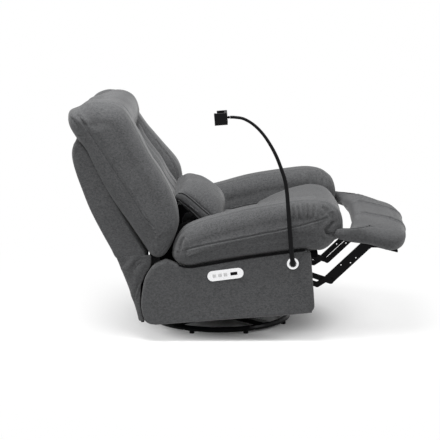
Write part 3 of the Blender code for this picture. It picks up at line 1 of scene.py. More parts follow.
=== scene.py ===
"""Looks for a swivel rocker recliner: upholstery, stitching, metal finishes, floor, light and camera."""
import json
import math

import bmesh
import bpy
import numpy as np
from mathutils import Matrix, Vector, noise
from mathutils.bvhtree import BVHTree


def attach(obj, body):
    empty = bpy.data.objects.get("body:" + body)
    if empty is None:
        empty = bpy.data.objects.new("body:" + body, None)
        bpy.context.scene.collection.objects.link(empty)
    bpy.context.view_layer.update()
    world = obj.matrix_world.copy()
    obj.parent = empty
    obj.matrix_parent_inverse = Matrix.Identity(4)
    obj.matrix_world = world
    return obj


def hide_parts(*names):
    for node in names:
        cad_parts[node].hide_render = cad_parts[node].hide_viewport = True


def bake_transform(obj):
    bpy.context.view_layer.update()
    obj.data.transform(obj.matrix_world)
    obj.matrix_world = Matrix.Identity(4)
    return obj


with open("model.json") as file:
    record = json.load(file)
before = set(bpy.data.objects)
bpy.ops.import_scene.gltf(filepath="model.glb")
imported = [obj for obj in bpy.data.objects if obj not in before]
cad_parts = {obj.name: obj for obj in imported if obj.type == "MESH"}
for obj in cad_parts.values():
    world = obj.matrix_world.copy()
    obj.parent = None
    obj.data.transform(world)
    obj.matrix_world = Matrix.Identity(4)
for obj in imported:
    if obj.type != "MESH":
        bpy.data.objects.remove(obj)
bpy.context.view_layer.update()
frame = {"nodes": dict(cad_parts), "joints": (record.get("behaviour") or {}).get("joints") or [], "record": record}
NODES = frame["nodes"]

# The frames in which the chair's pieces are drawn, in metres and degrees
SWIVEL = (0.02735, 0.09347)
ROCK_HEIGHT = 0.5257
ROCK_BACK = math.radians(4.5)
RECLINE = (0.256, 0.475)
RECLINE_BACK = math.radians(23.5)
CAMERA_AT = (-9.1864, 0.0060, 2.3539)
CAMERA_TO = (0.1159, 0.0921, 0.4274)
CAMERA_LENS = 172.6

# Steps in which curves and surfaces are drawn
CURVE_STEPS = 16
SPINE_STEPS = 60
RIM_STEPS = 16
CREASE_SPACING = 0.006
LINE_SPACING = 0.008
SHARP_ANGLE = math.radians(50)

# Sizes that several pieces share
BODY_HALF = 0.445
PANEL_THICK = 0.055
ARM_TRACK = 0.370
WING_TRACK = 0.360
FLAP_FOOT = (0.3745, 0.114)
WEAVE_PITCH = 0.0021

# Width and depth of a fold's groove, the swell beside it, and the share over which its ends fade
FOLDS = {"arm_pleat": (0.0056, 0.0062, 0.45, 0.3), "arm_nose": (0.0065, 0.0075, 0.5, 0.25),
         "arm_ear": (0.0065, 0.0120, 0.4, 0.12), "arm_rear": (0.0065, 0.0105, 0.5, 0.2),
         "arm_inner": (0.0056, 0.0055, 0.5, 0.35), "seat": (0.016, 0.010, 0.3),
         "small_tuck": (0.0050, 0.0030, 0.5, 0.4), "wing_corner": (0.0060, 0.0045, 0.5, 0.35),
         "wing_gather": (0.0040, 0.0028, 0.5, 0.3), "wing_fan": (0.0045, 0.0022, 0.5, 0.4),
         "flap_side": (0.0100, 0.0050, 0.6, 0.3), "flap_rear": (0.0120, 0.0055, 0.6, 0.3)}

# Width and depth of a seam's groove, then its thread's radius and the swell where they aren't usual
SEAMS = {"arm": (0.0034, 0.0020), "seat": (0.005, 0.003), "footrest": (0.0090, 0.0075, 0.0007, 0.45),
         "wing_stitch": (0.0034, 0.0016, 0.0006, 0.5), "wing": (0.0050, 0.0040), "channel": (0.0060, 0.0050)}


def from_chassis(x, y, z):
    """A point of the level chassis frame, in the world."""
    c, s = math.cos(-ROCK_BACK), math.sin(-ROCK_BACK)
    z = z - ROCK_HEIGHT
    return (x + SWIVEL[0], y * c - z * s + SWIVEL[1], y * s + z * c + ROCK_HEIGHT)


def from_back(x, y, z):
    """A point of the upright back's frame, in the world."""
    c, s = math.cos(-RECLINE_BACK), math.sin(-RECLINE_BACK)
    return from_chassis(x, RECLINE[0] + y * c - z * s, RECLINE[1] + y * s + z * c)


def from_world(x, y, z):
    """A point measured from the swivel axis, in the world."""
    return (x + SWIVEL[0], y + SWIVEL[1], z)


def shares(points, low, size):
    """An outline given as shares of a box."""
    return [(low[0] + size[0] * a, low[1] + size[1] * b) for a, b in points]


def between(a, b, c, d, t):
    """The smooth curve from b to c, with a before and d after them."""
    return 0.5 * (2 * b + (c - a) * t + (2 * a - 5 * b + 4 * c - d) * t ** 2
                  + (3 * b - a - 3 * c + d) * t ** 3)


def spline(points, count, closed=True):
    """Evenly spaced points on a smooth curve through the given points."""
    p = np.array(points, float)
    if closed:
        ring = np.vstack([p[-1:], p, p[:2]])
    else:
        ring = np.vstack([2 * p[:1] - p[1:2], p, 2 * p[-1:] - p[-2:-1]])
    t = np.linspace(0, 1, CURVE_STEPS, endpoint=False)[:, None]
    fine = [between(*four, t) for four in zip(ring, ring[1:], ring[2:], ring[3:])]
    fine = np.vstack(fine + [p[:1] if closed else p[-1:]])
    steps = np.linalg.norm(np.diff(fine, axis=0), axis=1)
    walked = np.concatenate([[0], np.cumsum(steps)])
    at = np.linspace(0, walked[-1], count, endpoint=not closed)
    return np.stack([np.interp(at, walked, fine[:, k]) for k in range(p.shape[1])], axis=1)


def keyed(points, per):
    """A smooth closed curve with the same number of points between each pair of keys."""
    p = np.array(points, float)
    ring = np.vstack([p[-1:], p, p[:2]])
    t = np.arange(per)[:, None] / per
    return np.vstack([between(*four, t) for four in zip(ring, ring[1:], ring[2:], ring[3:])])


def ramp(value, low, high):
    """A smooth step from 0 at low to 1 at high."""
    t = np.clip((value - low) / (high - low), 0, 1)
    return t * t * (3 - 2 * t)


def place_object(name, data):
    """A new object in the scene."""
    thing = bpy.data.objects.new(name, data)
    bpy.context.collection.objects.link(thing)
    return thing


def face_out(builder):
    """Turn the faces outwards."""
    bmesh.ops.recalc_face_normals(builder, faces=builder.faces)
    if builder.calc_volume(signed=True) < 0:
        bmesh.ops.reverse_faces(builder, faces=builder.faces)


def ring_faces(rings, count):
    """The faces between closed rings of points."""
    return [(r * count + i, r * count + (i + 1) % count, (r + 1) * count + (i + 1) % count, (r + 1) * count + i)
            for r in range(rings - 1) for i in range(count)]


def along(place, x, path):
    """A path in an upright plane across x, in the world."""
    return [place(x, y, z) for y, z in path]


def new_object(name, verts, faces, mat, smooth=True):
    """A mesh object from points and faces, with its normals outwards."""
    mesh = bpy.data.meshes.new(name)
    mesh.from_pydata([tuple(v) for v in verts], [], [tuple(f) for f in faces])
    builder = bmesh.new()
    builder.from_mesh(mesh)
    bmesh.ops.remove_doubles(builder, verts=builder.verts, dist=0.00005)
    face_out(builder)
    builder.to_mesh(mesh)
    builder.free()
    mesh.materials.append(mat)
    if smooth:
        mesh.shade_smooth()
    return place_object(name, mesh)


def to_spine(base, spine):
    """For each outline point, the nearest point of the spine."""
    line = spline(spine, SPINE_STEPS, False) if len(spine) > 2 else np.linspace(*spine, SPINE_STEPS)
    away = np.linalg.norm(base[:, None, :] - line[None], axis=2)
    return line[np.argmin(away, axis=1)]


def smooth_ring(values, rounds):
    """Blur values round a closed ring."""
    for _ in range(rounds):
        values = 0.25 * np.roll(values, 1, axis=0) + 0.5 * values + 0.25 * np.roll(values, -1, axis=0)
    return values


def stuffed(name, outline, place, mat, middle, half, rim, crown, spine, around=360, belt=20, bulge=0.0,
            rim_in=None, shape=None, caps=14):
    """A stuffed form: an outline swept across the chair, rounded at both rims, with crowned ends.

    The ends close towards a spine, so that long forms keep an even crown.
    """
    base = spline(outline, around)
    inner = smooth_ring(to_spine(base, spine), 6)
    reach = np.linalg.norm(inner - base, axis=1)
    toward = (inner - base) / np.maximum(reach, 1e-6)[:, None]
    rim_in = rim_in or rim
    depth = np.minimum(rim_in, 0.92 * reach)
    rows = []
    straight = half - rim
    for k in range(caps):
        c = k / caps
        rows.append((-half - crown * math.cos(0.5 * math.pi * c) ** 2, reach + (depth - reach) * c))
    for k in range(RIM_STEPS):
        a = 0.5 * math.pi * (1 - k / RIM_STEPS)
        rows.append((-straight - rim * math.sin(a), depth * (1 - math.cos(a))))
    for k in range(belt + 1):
        x = straight * (2 * k / belt - 1)
        rows.append((x, -bulge * math.cos(0.5 * math.pi * x / max(half, 1e-6)) * np.ones(around)))
    rows += [(-x, inset) for x, inset in rows[:caps + RIM_STEPS][::-1]]
    points = []
    for x, inset in rows:
        ring = base + toward * np.asarray(inset).reshape(-1, 1)
        points.append(np.column_stack([np.full(around, middle + x), ring]))
    points = np.array(points)
    if shape:
        points = shape(points)
    world = [place(*p) for p in points.reshape(-1, 3)]
    thing = new_object(name, world, ring_faces(len(rows), around), mat)
    close_ends(thing)
    return thing


def close_ends(thing):
    """Close what the merged spine leaves open."""
    builder = bmesh.new()
    builder.from_mesh(thing.data)
    bmesh.ops.dissolve_degenerate(builder, edges=builder.edges, dist=0.0001)
    rim = [e for e in builder.edges if e.is_boundary]
    if rim:
        bmesh.ops.holes_fill(builder, edges=rim, sides=0)
    face_out(builder)
    builder.to_mesh(thing.data)
    builder.free()


def refine(thing, levels):
    """Apply a subdivision."""
    modifier = thing.modifiers.new("fine", "SUBSURF")
    modifier.levels = levels
    modifier.render_levels = levels
    apply_modifiers(thing)


def apply_modifiers(thing):
    """Put the modifiers' result into the mesh."""
    depsgraph = bpy.context.evaluated_depsgraph_get()
    mesh = bpy.data.meshes.new_from_object(thing.evaluated_get(depsgraph))
    thing.modifiers.clear()
    thing.data = mesh
    mesh.shade_smooth()


def arrays(thing):
    """The mesh's points and normals."""
    mesh = thing.data
    count = len(mesh.vertices)
    co = np.empty(count * 3)
    mesh.vertices.foreach_get("co", co)
    no = np.empty(count * 3)
    mesh.vertices.foreach_get("normal", no)
    return co.reshape(-1, 3), no.reshape(-1, 3)


def set_points(thing, co):
    """Write the points back into the mesh."""
    thing.data.vertices.foreach_set("co", co.reshape(-1))
    thing.data.update()


def line_distance(co, line):
    """Distance of each point to a line of points, and how far along the line it lies, from 0 to 1."""
    best = np.full(len(co), 9.0)
    share = np.zeros(len(co))
    total = len(line) - 1
    for k in range(total):
        a, b = line[k], line[k + 1]
        d = b - a
        t = np.clip(((co - a) @ d) / max(d @ d, 1e-12), 0, 1)
        away = np.linalg.norm(co - (a + t[:, None] * d), axis=1)
        near = away < best
        best[near] = away[near]
        share[near] = (k + t[near]) / total
    return best, share


def crease(thing, line, width, depth, swell=0.4, taper=0.0, smooth=True):
    """Press a groove along a line into the surface, with the cloth swelling a little beside it."""
    line = np.array(line, float)
    if smooth and len(line) > 2:
        length = np.linalg.norm(np.diff(line, axis=0), axis=1).sum()
        line = spline(line, max(12, int(length / CREASE_SPACING)), False)
    elif len(line) == 2:
        line = line[0] + np.linspace(0, 1, 12)[:, None] * (line[1] - line[0])
    co, no = arrays(thing)
    low = line.min(axis=0) - 6 * width - 0.01
    high = line.max(axis=0) + 6 * width + 0.01
    inside = np.all((co > low) & (co < high), axis=1)
    if not inside.any():
        return
    near = co[inside]
    line = near[[int(np.argmin(((near - q) ** 2).sum(axis=1))) for q in line]]
    for _ in range(3):
        line[1:-1] = 0.25 * line[:-2] + 0.5 * line[1:-1] + 0.25 * line[2:]
    away, share = line_distance(near, line)
    fade = ramp(np.minimum(share, 1 - share), 0, taper) if taper else np.ones_like(share)
    beside = np.exp(-((away - 2.2 * width) / (1.3 * width)) ** 2)
    move = -depth * np.exp(-(away / width) ** 2) + swell * depth * beside
    co[inside] += no[inside] * (move * fade)[:, None]
    set_points(thing, co)


def undulate(thing, size, height, seed=0.0, stretch=(1, 1, 1)):
    """A broad soft unevenness, as of stuffing under cloth."""
    co, no = arrays(thing)
    move = np.array([noise.noise(Vector((p[0] * stretch[0] / size + seed, p[1] * stretch[1] / size,
                                         p[2] * stretch[2] / size))) for p in co])
    set_points(thing, co + no * (move * height)[:, None])


def lay_on(thing, line, lift):
    """Points moved onto the surface of a piece, and lifted off it a little."""
    mesh = thing.data
    tree = BVHTree.FromPolygons([v.co for v in mesh.vertices], [f.vertices for f in mesh.polygons])
    laid = []
    for p in line:
        at, normal, _, _ = tree.find_nearest(Vector(p))
        laid.append(at + normal * lift)
    return laid


def surface_line(thing, line, lift):
    """A smooth line laid on the surface of a piece."""
    line = np.array(line, float)
    length = np.linalg.norm(np.diff(line, axis=0), axis=1).sum()
    return lay_on(thing, spline(line, max(8, int(length / LINE_SPACING)), False), lift)


def tube(name, points, radius, mat, sides=8, closed=False):
    """A round tube along points. radius is one number or one for each point."""
    pts = [Vector(p) for p in points]
    total = len(pts)
    radii = [radius] * total if isinstance(radius, (int, float)) else radius
    verts, faces = [], []
    normal = None
    for i, p in enumerate(pts):
        if closed:
            along = (pts[(i + 1) % total] - pts[i - 1]).normalized()
        else:
            along = (pts[min(i + 1, total - 1)] - pts[max(i - 1, 0)]).normalized()
        if normal is None:
            normal = along.orthogonal().normalized()
        normal = (normal - along * normal.dot(along)).normalized()
        other = along.cross(normal)
        for k in range(sides):
            a = 2 * math.pi * k / sides
            verts.append(p + radii[i] * (math.cos(a) * normal + math.sin(a) * other))
    spans = total if closed else total - 1
    for i in range(spans):
        for k in range(sides):
            m = (k + 1) % sides
            n = (i + 1) % total
            faces.append((i * sides + k, i * sides + m, n * sides + m, n * sides + k))
    if not closed:
        faces.append(tuple(range(sides)))
        faces.append(tuple(range((total - 1) * sides, total * sides)))
    return new_object(name, verts, faces, mat)


def seam(thing, name, line, body, width=0.0035, depth=0.0022, thread=0.0007, swell=0.35):
    """A sewn seam: a narrow groove with its thread lying in it."""
    crease(thing, line, width, depth, swell)
    cord = tube(name, surface_line(thing, line, 0.0001), thread, THREAD, 6)
    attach(cord, body)


def join_body(piece, body, node):
    """Stand the piece in for its CAD node."""
    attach(piece, body)
    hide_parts(node)


# ---------------------------------------------------------------- materials

def node_tree(name):
    """A new material, its node tree and its shader."""
    mat = bpy.data.materials.new(name)
    mat.use_nodes = True
    tree = mat.node_tree
    return mat, tree, tree.nodes["Principled BSDF"]


def add(tree, kind, **values):
    """A new node. A name that starts with in_ sets an input, and any other sets a property."""
    made = tree.nodes.new(kind)
    for key, value in values.items():
        if key.startswith("in_"):
            made.inputs[key[3:].replace("_", " ")].default_value = value
        else:
            setattr(made, key, value)
    return made


def compute(tree, operation, *inputs):
    """A math node's output. Its inputs are numbers or sockets."""
    made = add(tree, "ShaderNodeMath", operation=operation)
    for socket, value in zip(made.inputs, inputs):
        if isinstance(value, float):
            socket.default_value = value
        else:
            tree.links.new(value, socket)
    return made.outputs[0]


def two_tones(tree, factor, dark, light, start=0.0):
    """A colour that runs from dark to light."""
    made = add(tree, "ShaderNodeValToRGB")
    first, last = made.color_ramp.elements
    first.position = start
    first.color, last.color = (*dark, 1), (*light, 1)
    tree.links.new(factor, made.inputs["Fac"])
    return made.outputs["Color"]


def fabric(name, dark, light):
    """Charcoal woven upholstery cloth with a slight heather."""
    mat, tree, shader = node_tree(name)
    link = tree.links.new
    place = add(tree, "ShaderNodeTexCoord")
    coarse = add(tree, "ShaderNodeTexNoise", in_Scale=150.0, in_Detail=4.0, in_Roughness=0.70)
    fine = add(tree, "ShaderNodeTexNoise", in_Scale=520.0, in_Detail=2.0, in_Roughness=0.7)
    stretch = add(tree, "ShaderNodeMapping")
    stretch.inputs["Scale"].default_value = (1.0, 0.35, 1.6)
    slub = add(tree, "ShaderNodeMapping")
    slub.inputs["Scale"].default_value = (1.0, 0.62, 1.0)
    link(place.outputs["Object"], slub.inputs["Vector"])
    link(slub.outputs["Vector"], coarse.inputs["Vector"])
    link(place.outputs["Object"], stretch.inputs["Vector"])
    link(stretch.outputs["Vector"], fine.inputs["Vector"])
    parts = add(tree, "ShaderNodeSeparateXYZ")
    link(place.outputs["Object"], parts.inputs["Vector"])
    turn = 2 * math.pi / WEAVE_PITCH
    waves = [compute(tree, "SINE", compute(tree, "MULTIPLY", parts.outputs[axis], turn)) for axis in "XYZ"]
    first, second, third = [compute(tree, "MULTIPLY", waves[k], waves[(k + 1) % 3]) for k in range(3)]
    total = compute(tree, "ADD", compute(tree, "ADD", first, second), third)
    weave = compute(tree, "MULTIPLY_ADD", total, 0.10, fine.outputs["Fac"])
    both = compute(tree, "MULTIPLY_ADD", coarse.outputs["Fac"], 0.95, weave)
    centred = compute(tree, "SUBTRACT", both, 0.125)
    link(two_tones(tree, centred, dark, light, 0.66), shader.inputs["Base Color"])
    bump = add(tree, "ShaderNodeBump", in_Strength=0.35, in_Distance=0.0007)
    link(weave, bump.inputs["Height"])
    link(bump.outputs["Normal"], shader.inputs["Normal"])
    shader.inputs["Roughness"].default_value = 0.93
    shader.inputs["Specular IOR Level"].default_value = 0.10
    shader.inputs["Sheen Weight"].default_value = 0.16
    shader.inputs["Sheen Roughness"].default_value = 0.45
    return mat


def coated(name, colour, roughness, metallic=0.0, grain=0.05, size=60.0, coat=0.0, gloss=0.5):
    """Paint, plastic or plate with slight unevenness in its gloss."""
    mat, tree, shader = node_tree(name)
    link = tree.links.new
    place = add(tree, "ShaderNodeTexCoord")
    spots = add(tree, "ShaderNodeTexNoise", in_Scale=size, in_Detail=4.0, in_Roughness=0.6)
    link(place.outputs["Object"], spots.inputs["Vector"])
    spread = add(tree, "ShaderNodeMapRange")
    spread.inputs["To Min"].default_value = max(0.02, roughness - grain)
    spread.inputs["To Max"].default_value = roughness + grain
    link(spots.outputs["Fac"], spread.inputs["Value"])
    link(spread.outputs["Result"], shader.inputs["Roughness"])
    dark, light = [c * 0.85 for c in colour], [min(1.0, c * 1.12) for c in colour]
    link(two_tones(tree, spots.outputs["Fac"], dark, light), shader.inputs["Base Color"])
    bump = add(tree, "ShaderNodeBump", in_Strength=0.05, in_Distance=0.0003)
    link(spots.outputs["Fac"], bump.inputs["Height"])
    link(bump.outputs["Normal"], shader.inputs["Normal"])
    shader.inputs["Metallic"].default_value = metallic
    shader.inputs["Specular IOR Level"].default_value = gloss
    shader.inputs["Coat Weight"].default_value = coat
    shader.inputs["Coat Roughness"].default_value = 0.08
    return mat


def timber(name):
    """Plain birch board."""
    mat, tree, shader = node_tree(name)
    link = tree.links.new
    place = add(tree, "ShaderNodeTexCoord")
    stretch = add(tree, "ShaderNodeMapping")
    stretch.inputs["Scale"].default_value = (2.0, 18.0, 18.0)
    grain = add(tree, "ShaderNodeTexNoise", in_Scale=9.0, in_Detail=6.0, in_Roughness=0.65,
                in_Distortion=1.2)
    link(place.outputs["Object"], stretch.inputs["Vector"])
    link(stretch.outputs["Vector"], grain.inputs["Vector"])
    colour = two_tones(tree, grain.outputs["Fac"], (0.30, 0.19, 0.10), (0.52, 0.37, 0.22))
    link(colour, shader.inputs["Base Color"])
    shader.inputs["Roughness"].default_value = 0.7
    return mat


CLOTH = fabric("charcoal_cloth", (0.041, 0.0415, 0.043), (0.086, 0.087, 0.089))
THREAD = coated("seam_thread", (0.022, 0.022, 0.023), 0.9)
BLACK_STEEL = coated("black_steel_gloss", (0.004, 0.004, 0.0045), 0.32, 0.0, 0.08, 90.0, 0.04, 0.06)
BRIGHT = coated("bright_plate", (0.86, 0.86, 0.87), 0.22, 0.75, 0.05, 200.0)
BLACK_PLASTIC = coated("black_plastic_satin", (0.0045, 0.0045, 0.005), 0.50, 0.0, 0.06, 400.0, 0.0, 0.08)
KEYS = coated("grey_keys", (0.52, 0.52, 0.52), 0.5)
# Black dust cover cloth on the wrapped boards and frame; the same black also paints shade on the cord under each
# arm and on the sheets beside the seat
DUST_CLOTH_AND_SHADE = coated("black_dust_cloth_and_shade", (0.006, 0.006, 0.0065), 0.95, 0.0, 0.02, 700.0, 0.0, 0.05)
BOARD = timber("birch_board")
FINISH = {"black_steel": BLACK_STEEL, "bright_metal": BRIGHT, "black_plastic": BLACK_PLASTIC,
          "plywood": BOARD, "grey_fabric": CLOTH}
WRAPPED = ("seat_deck", "footrest_board", "rear_board", "back_frame")
SLOT_OF = {s["node"]: s["material_slot"] for s in frame["record"]["subparts"]}
for node_name, node in NODES.items():
    for slot in node.material_slots:
        if node_name in WRAPPED:
            slot.material = DUST_CLOTH_AND_SHADE
        else:
            slot.material = KEYS if "button" in node_name else FINISH[SLOT_OF[node_name]]

# ---------------------------------------------------------------- side panels

PANEL_BOX = ((-0.382, 0.098), (0.743, 0.280))
PANEL_TOP = shares(((0.838, 1.000), (0.811, 0.976), (0.755, 0.908), (0.698, 0.870), (0.583, 0.893),
                    (0.351, 0.950), (0.034, 1.000)), *PANEL_BOX)
PANEL_REAR = shares(((0.88, 0.0), (0.935, 0.006), (0.968, 0.035), (0.988, 0.11), (0.998, 0.33), (0.975, 0.64),
                     (0.950, 0.79), (0.905, 0.93)), *PANEL_BOX)
PANEL_FRONT = shares(((0.040, 0.992), (0.012, 0.965), (0.001, 0.90), (0.0, 0.60), (0.0, 0.20), (0.003, 0.085),
                      (0.020, 0.030), (0.058, 0.004), (0.45, 0.0)), *PANEL_BOX)
PLATE_MIDDLE = (-0.012, 0.299)
PLATE_TILT = math.radians(3.0)
PLATE_LENGTH = 0.155
PLATE_HEIGHT = 0.045
PLATE_HALF = (PLATE_LENGTH - PLATE_HEIGHT) / 2
FLANGE = (-0.302, 0.325)
FLANGE_HOLE = 0.011
# The dark cord along each panel's top edge under the arm is painted shadow for that joint: its radius, and how far
# back it runs
SHADOW_CORD_RADIUS = 0.0036
SHADOW_CORD_END = 0.185


def cut(thing, tool):
    """Subtract a hidden tool and apply it."""
    modifier = thing.modifiers.new("cut", "BOOLEAN")
    modifier.operation = "DIFFERENCE"
    modifier.object = tool
    modifier.solver = "EXACT"
    apply_modifiers(thing)
    bpy.data.objects.remove(tool, do_unlink=True)
    thing.data.set_sharp_from_angle(angle=SHARP_ANGLE)


def prism(outline, x0, x1, place, name="tool"):
    """A straight solid across the chair."""
    count = len(outline)
    verts = [place(x0, *p) for p in outline] + [place(x1, *p) for p in outline]
    faces = [tuple(range(count)), tuple(range(count, 2 * count))]
    faces += [(i, (i + 1) % count, count + (i + 1) % count, count + i) for i in range(count)]
    return new_object(name, verts, faces, CLOTH, False)


def round_bar(share, width, count=12):
    """The stadium that shares the control plate's axis."""
    along = np.array((math.cos(PLATE_TILT), -math.sin(PLATE_TILT)))
    side = np.array((-along[1], along[0]))
    points = []
    for sign in (1, -1):
        for k in range(count + 1):
            a = math.pi * (k / count - 0.5)
            out = along * (PLATE_HALF * share + width / 2 * math.cos(a))
            points.append(np.array(PLATE_MIDDLE) + sign * (out + side * width / 2 * math.sin(a)))
    return points


def side_panel(word, side):
    """An outer side panel, with the plate's recess and the phone arm's hole on the sitter's right, and a dark cord
    of painted shadow along its top edge under the arm.
    """
    outline = PANEL_REAR + PANEL_TOP + PANEL_FRONT
    spine = [(-0.24, 0.225), (0.0, 0.220), (0.20, 0.215)]
    panel = stuffed(f"panel_cover_{word}", outline, from_chassis, CLOTH, side * (BODY_HALF - PANEL_THICK / 2),
                    half=PANEL_THICK / 2, rim=0.013, crown=0.0, spine=spine, around=440, belt=12, rim_in=0.013)
    co, no = arrays(panel)
    sink = np.array([noise.noise(Vector((7.0 + side, p[1] * 6, p[2] * 6))) for p in co])
    co[:, 0] += side * sink * 0.0012 * np.abs(no[:, 0]) ** 8
    set_points(panel, co)
    if side < 0:
        recess = round_bar(0.86, PLATE_HEIGHT * 0.72)
        cut(panel, prism(recess, -BODY_HALF - 0.01, -BODY_HALF + 0.0100, from_chassis))
        hole = [(FLANGE[0] + FLANGE_HOLE * math.cos(a), FLANGE[1] + FLANGE_HOLE * math.sin(a))
                for a in np.linspace(0, 2 * math.pi, 24, endpoint=False)]
        cut(panel, prism(hole, -BODY_HALF - 0.01, -BODY_HALF + PANEL_THICK * 0.6, from_chassis))
    join_body(panel, "chassis", f"side_panel_{word}")
    # A dark cord laid along the panel's top edge, where the arm sits on it: painted shadow standing in for the
    # shade in that joint
    edge = [from_chassis(side * (BODY_HALF - 0.0035), y, z) for y, z in spline(PANEL_TOP, 90, False)
            if y < SHADOW_CORD_END]
    gap = tube(f"panel_shadow_cord_{word}", edge, SHADOW_CORD_RADIUS, DUST_CLOTH_AND_SHADE)
    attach(gap, "chassis")


# ---------------------------------------------------------------- arm pads

ARM_LOW = 0.098 + 0.87 * 0.280
ARM_BOX = ((-0.525, ARM_LOW), (0.739, 0.586 - ARM_LOW))
ARM_TOP = shares(((0.979, 0.42), (0.910, 0.64), (0.811, 0.755), (0.692, 0.830), (0.527, 0.920),
                  (0.344, 0.975), (0.186, 0.998), (0.090, 0.945), (0.042, 0.850), (0.014, 0.750),
                  (0.0, 0.580), (0.010, 0.420), (0.058, 0.225), (0.125, 0.115)), *ARM_BOX)


def arm_pad(word, side):
    """An arm's pad, with its pleated top, folded nose and the gap to the panel under it."""
    under = [(y, z - 0.0015) for y, z in reversed(PANEL_TOP[2:])]
    rear = [(0.210, PANEL_TOP[1][1] + 0.006), (0.214, PANEL_TOP[1][1] + 0.030)]
    half = 0.100

    def draw_in(points):
        """Draw the outer side back at the nose, and lift its low edge."""
        out = np.maximum(0.0, (points[..., 0] * side - ARM_TRACK) / half)
        front = np.clip((-0.378 - points[..., 1]) / 0.147, 0, 1)
        back = np.clip((points[..., 1] - 0.107) / 0.107, 0, 1)
        points[..., 1] += 0.85 * half * out * out * front - 0.1 * half * back * back
        low = ramp(points[..., 2], 0.452, 0.385) * ramp(points[..., 1], -0.44, -0.36)
        points[..., 2] += 0.006 * ramp(out, 0.55, 0.9) * low
        return points

    spine = [(-0.44, 0.475), (-0.25, 0.470), (0.0, 0.435), (0.13, 0.395)]
    pad = stuffed(f"arm_cover_{word}", ARM_TOP + under + rear, from_chassis, CLOTH, side * ARM_TRACK,
                  half=0.092, rim=0.060, crown=0.007, spine=spine, around=560, belt=18, bulge=0.004,
                  rim_in=0.060, shape=draw_in, caps=32)
    undulate(pad, size=0.10, height=0.0030, seed=3.1 + side, stretch=(1, 0.7, 1))
    outer = side * 0.465
    side_seam = [from_world(outer, y, z) for y, z in
                 ((0.190, 0.395), (0.172, 0.402), (0.078, 0.428), (-0.134, 0.472), (-0.303, 0.507),
                  (-0.430, 0.542), (-0.470, 0.552))]
    for start, end in (((-0.300, 0.590), (-0.306, 0.515)), ((-0.318, 0.586), (-0.322, 0.512)),
                       ((-0.338, 0.584), (-0.345, 0.506)), ((-0.358, 0.580), (-0.362, 0.515)),
                       ((-0.381, 0.580), (-0.380, 0.508)), ((-0.406, 0.574), (-0.402, 0.511))):
        line = [from_chassis(side * 0.430, *start), from_chassis(side * 0.466, *end)]
        crease(pad, line, *FOLDS["arm_pleat"])
    for path in (((-0.480, 0.572), (-0.489, 0.545), (-0.492, 0.515), (-0.483, 0.482)),
                 ((-0.502, 0.552), (-0.512, 0.520), (-0.513, 0.480)),
                 ((-0.455, 0.585), (-0.468, 0.560), (-0.470, 0.530))):
        crease(pad, along(from_chassis, side * 0.462, path), *FOLDS["arm_nose"])
    ear_fold = ((-0.512, 0.490), (-0.482, 0.479), (-0.462, 0.470), (-0.454, 0.457), (-0.462, 0.443),
                (-0.484, 0.434), (-0.512, 0.433))
    crease(pad, along(from_chassis, side * 0.462, ear_fold), *FOLDS["arm_ear"])
    rear_tuck = ((0.158, 0.500), (0.176, 0.476), (0.178, 0.440), (0.172, 0.405))
    crease(pad, along(from_chassis, side * 0.464, rear_tuck), *FOLDS["arm_rear"])
    for y in (-0.505, -0.480, -0.450, -0.415):
        crease(pad, [from_chassis(side * x, y + 0.02 * (x - 0.33), z) for x, z in
                     ((0.285, 0.520), (0.305, 0.565), (0.335, 0.592))], *FOLDS["arm_inner"])
    seam(pad, f"arm_seam_{word}", side_seam, "chassis", *SEAMS["arm"])
    join_body(pad, "chassis", f"arm_pad_{word}")


# ---------------------------------------------------------------- seat, footrest and lumbar pillow

SEAT_BOX = ((-0.532, 0.3223), (0.712, 0.2077))
SEAT = shares(((1.0, 0.30), (0.985, 0.52), (0.93, 0.575), (0.57, 0.585), (0.49, 0.72), (0.365, 0.88),
               (0.235, 0.985), (0.155, 1.0), (0.075, 0.90), (0.016, 0.63), (0.0, 0.44), (0.012, 0.27),
               (0.05, 0.190), (0.105, 0.180), (0.145, 0.13), (0.185, 0.0), (0.30, 0.0), (0.60, 0.0),
               (0.90, 0.0), (0.98, 0.07)), *SEAT_BOX)


def seat_cushion():
    """The seat, with a seam near each side and the fold behind its front roll."""
    outline = [(y, z + 0.004) for y, z in SEAT]
    spine = [(-0.44, 0.42), (-0.28, 0.41), (0.0, 0.375), (0.14, 0.37)]
    pad = stuffed("seat_cover", outline, from_chassis, CLOTH, 0.0, half=0.262, rim=0.045, crown=0.001,
                  spine=spine, around=440, belt=60, bulge=0.004, rim_in=0.045)
    undulate(pad, size=0.12, height=0.003, seed=8.0)
    for x in (-0.245, 0.245):
        line = [from_chassis(x, y, z) for y, z in
                ((-0.518, 0.43), (-0.48, 0.50), (-0.42, 0.53), (-0.32, 0.515), (-0.22, 0.49))]
        seam(pad, f"seat_seam_{'left' if x > 0 else 'right'}", line, "chassis", *SEAMS["seat"])
    fold = [from_chassis(x, -0.135, 0.447) for x in np.linspace(-0.24, 0.24, 9)]
    crease(pad, fold, *FOLDS["seat"])
    join_body(pad, "chassis", "seat_cushion")


FOOT_REACH = 0.245
FOOT_WIDE = 0.440
FOOT = ((0.0, -0.72), (0.20, -0.715), (0.40, -0.705), (0.60, -0.665), (0.73, -0.60), (0.805, -0.49),
        (0.840, -0.35), (0.865, -0.19), (0.885, -0.02), (0.915, 0.20), (0.965, 0.40), (0.988, 0.53),
        (0.985, 0.61), (0.955, 0.64), (0.925, 0.58), (0.890, 0.47), (0.83, 0.41), (0.74, 0.355),
        (0.60, 0.320), (0.42, 0.285), (0.20, 0.262))
FOOT_SLOPE = math.radians(-18.5)


def footrest_axis():
    """The footrest frame, in the world, from the CAD pad's joint."""
    joint = next(j for j in frame["joints"] if j["name"] == "footrest_turn")
    return Vector(joint["pos_m"])


FOOT_PLACE = footrest_axis()


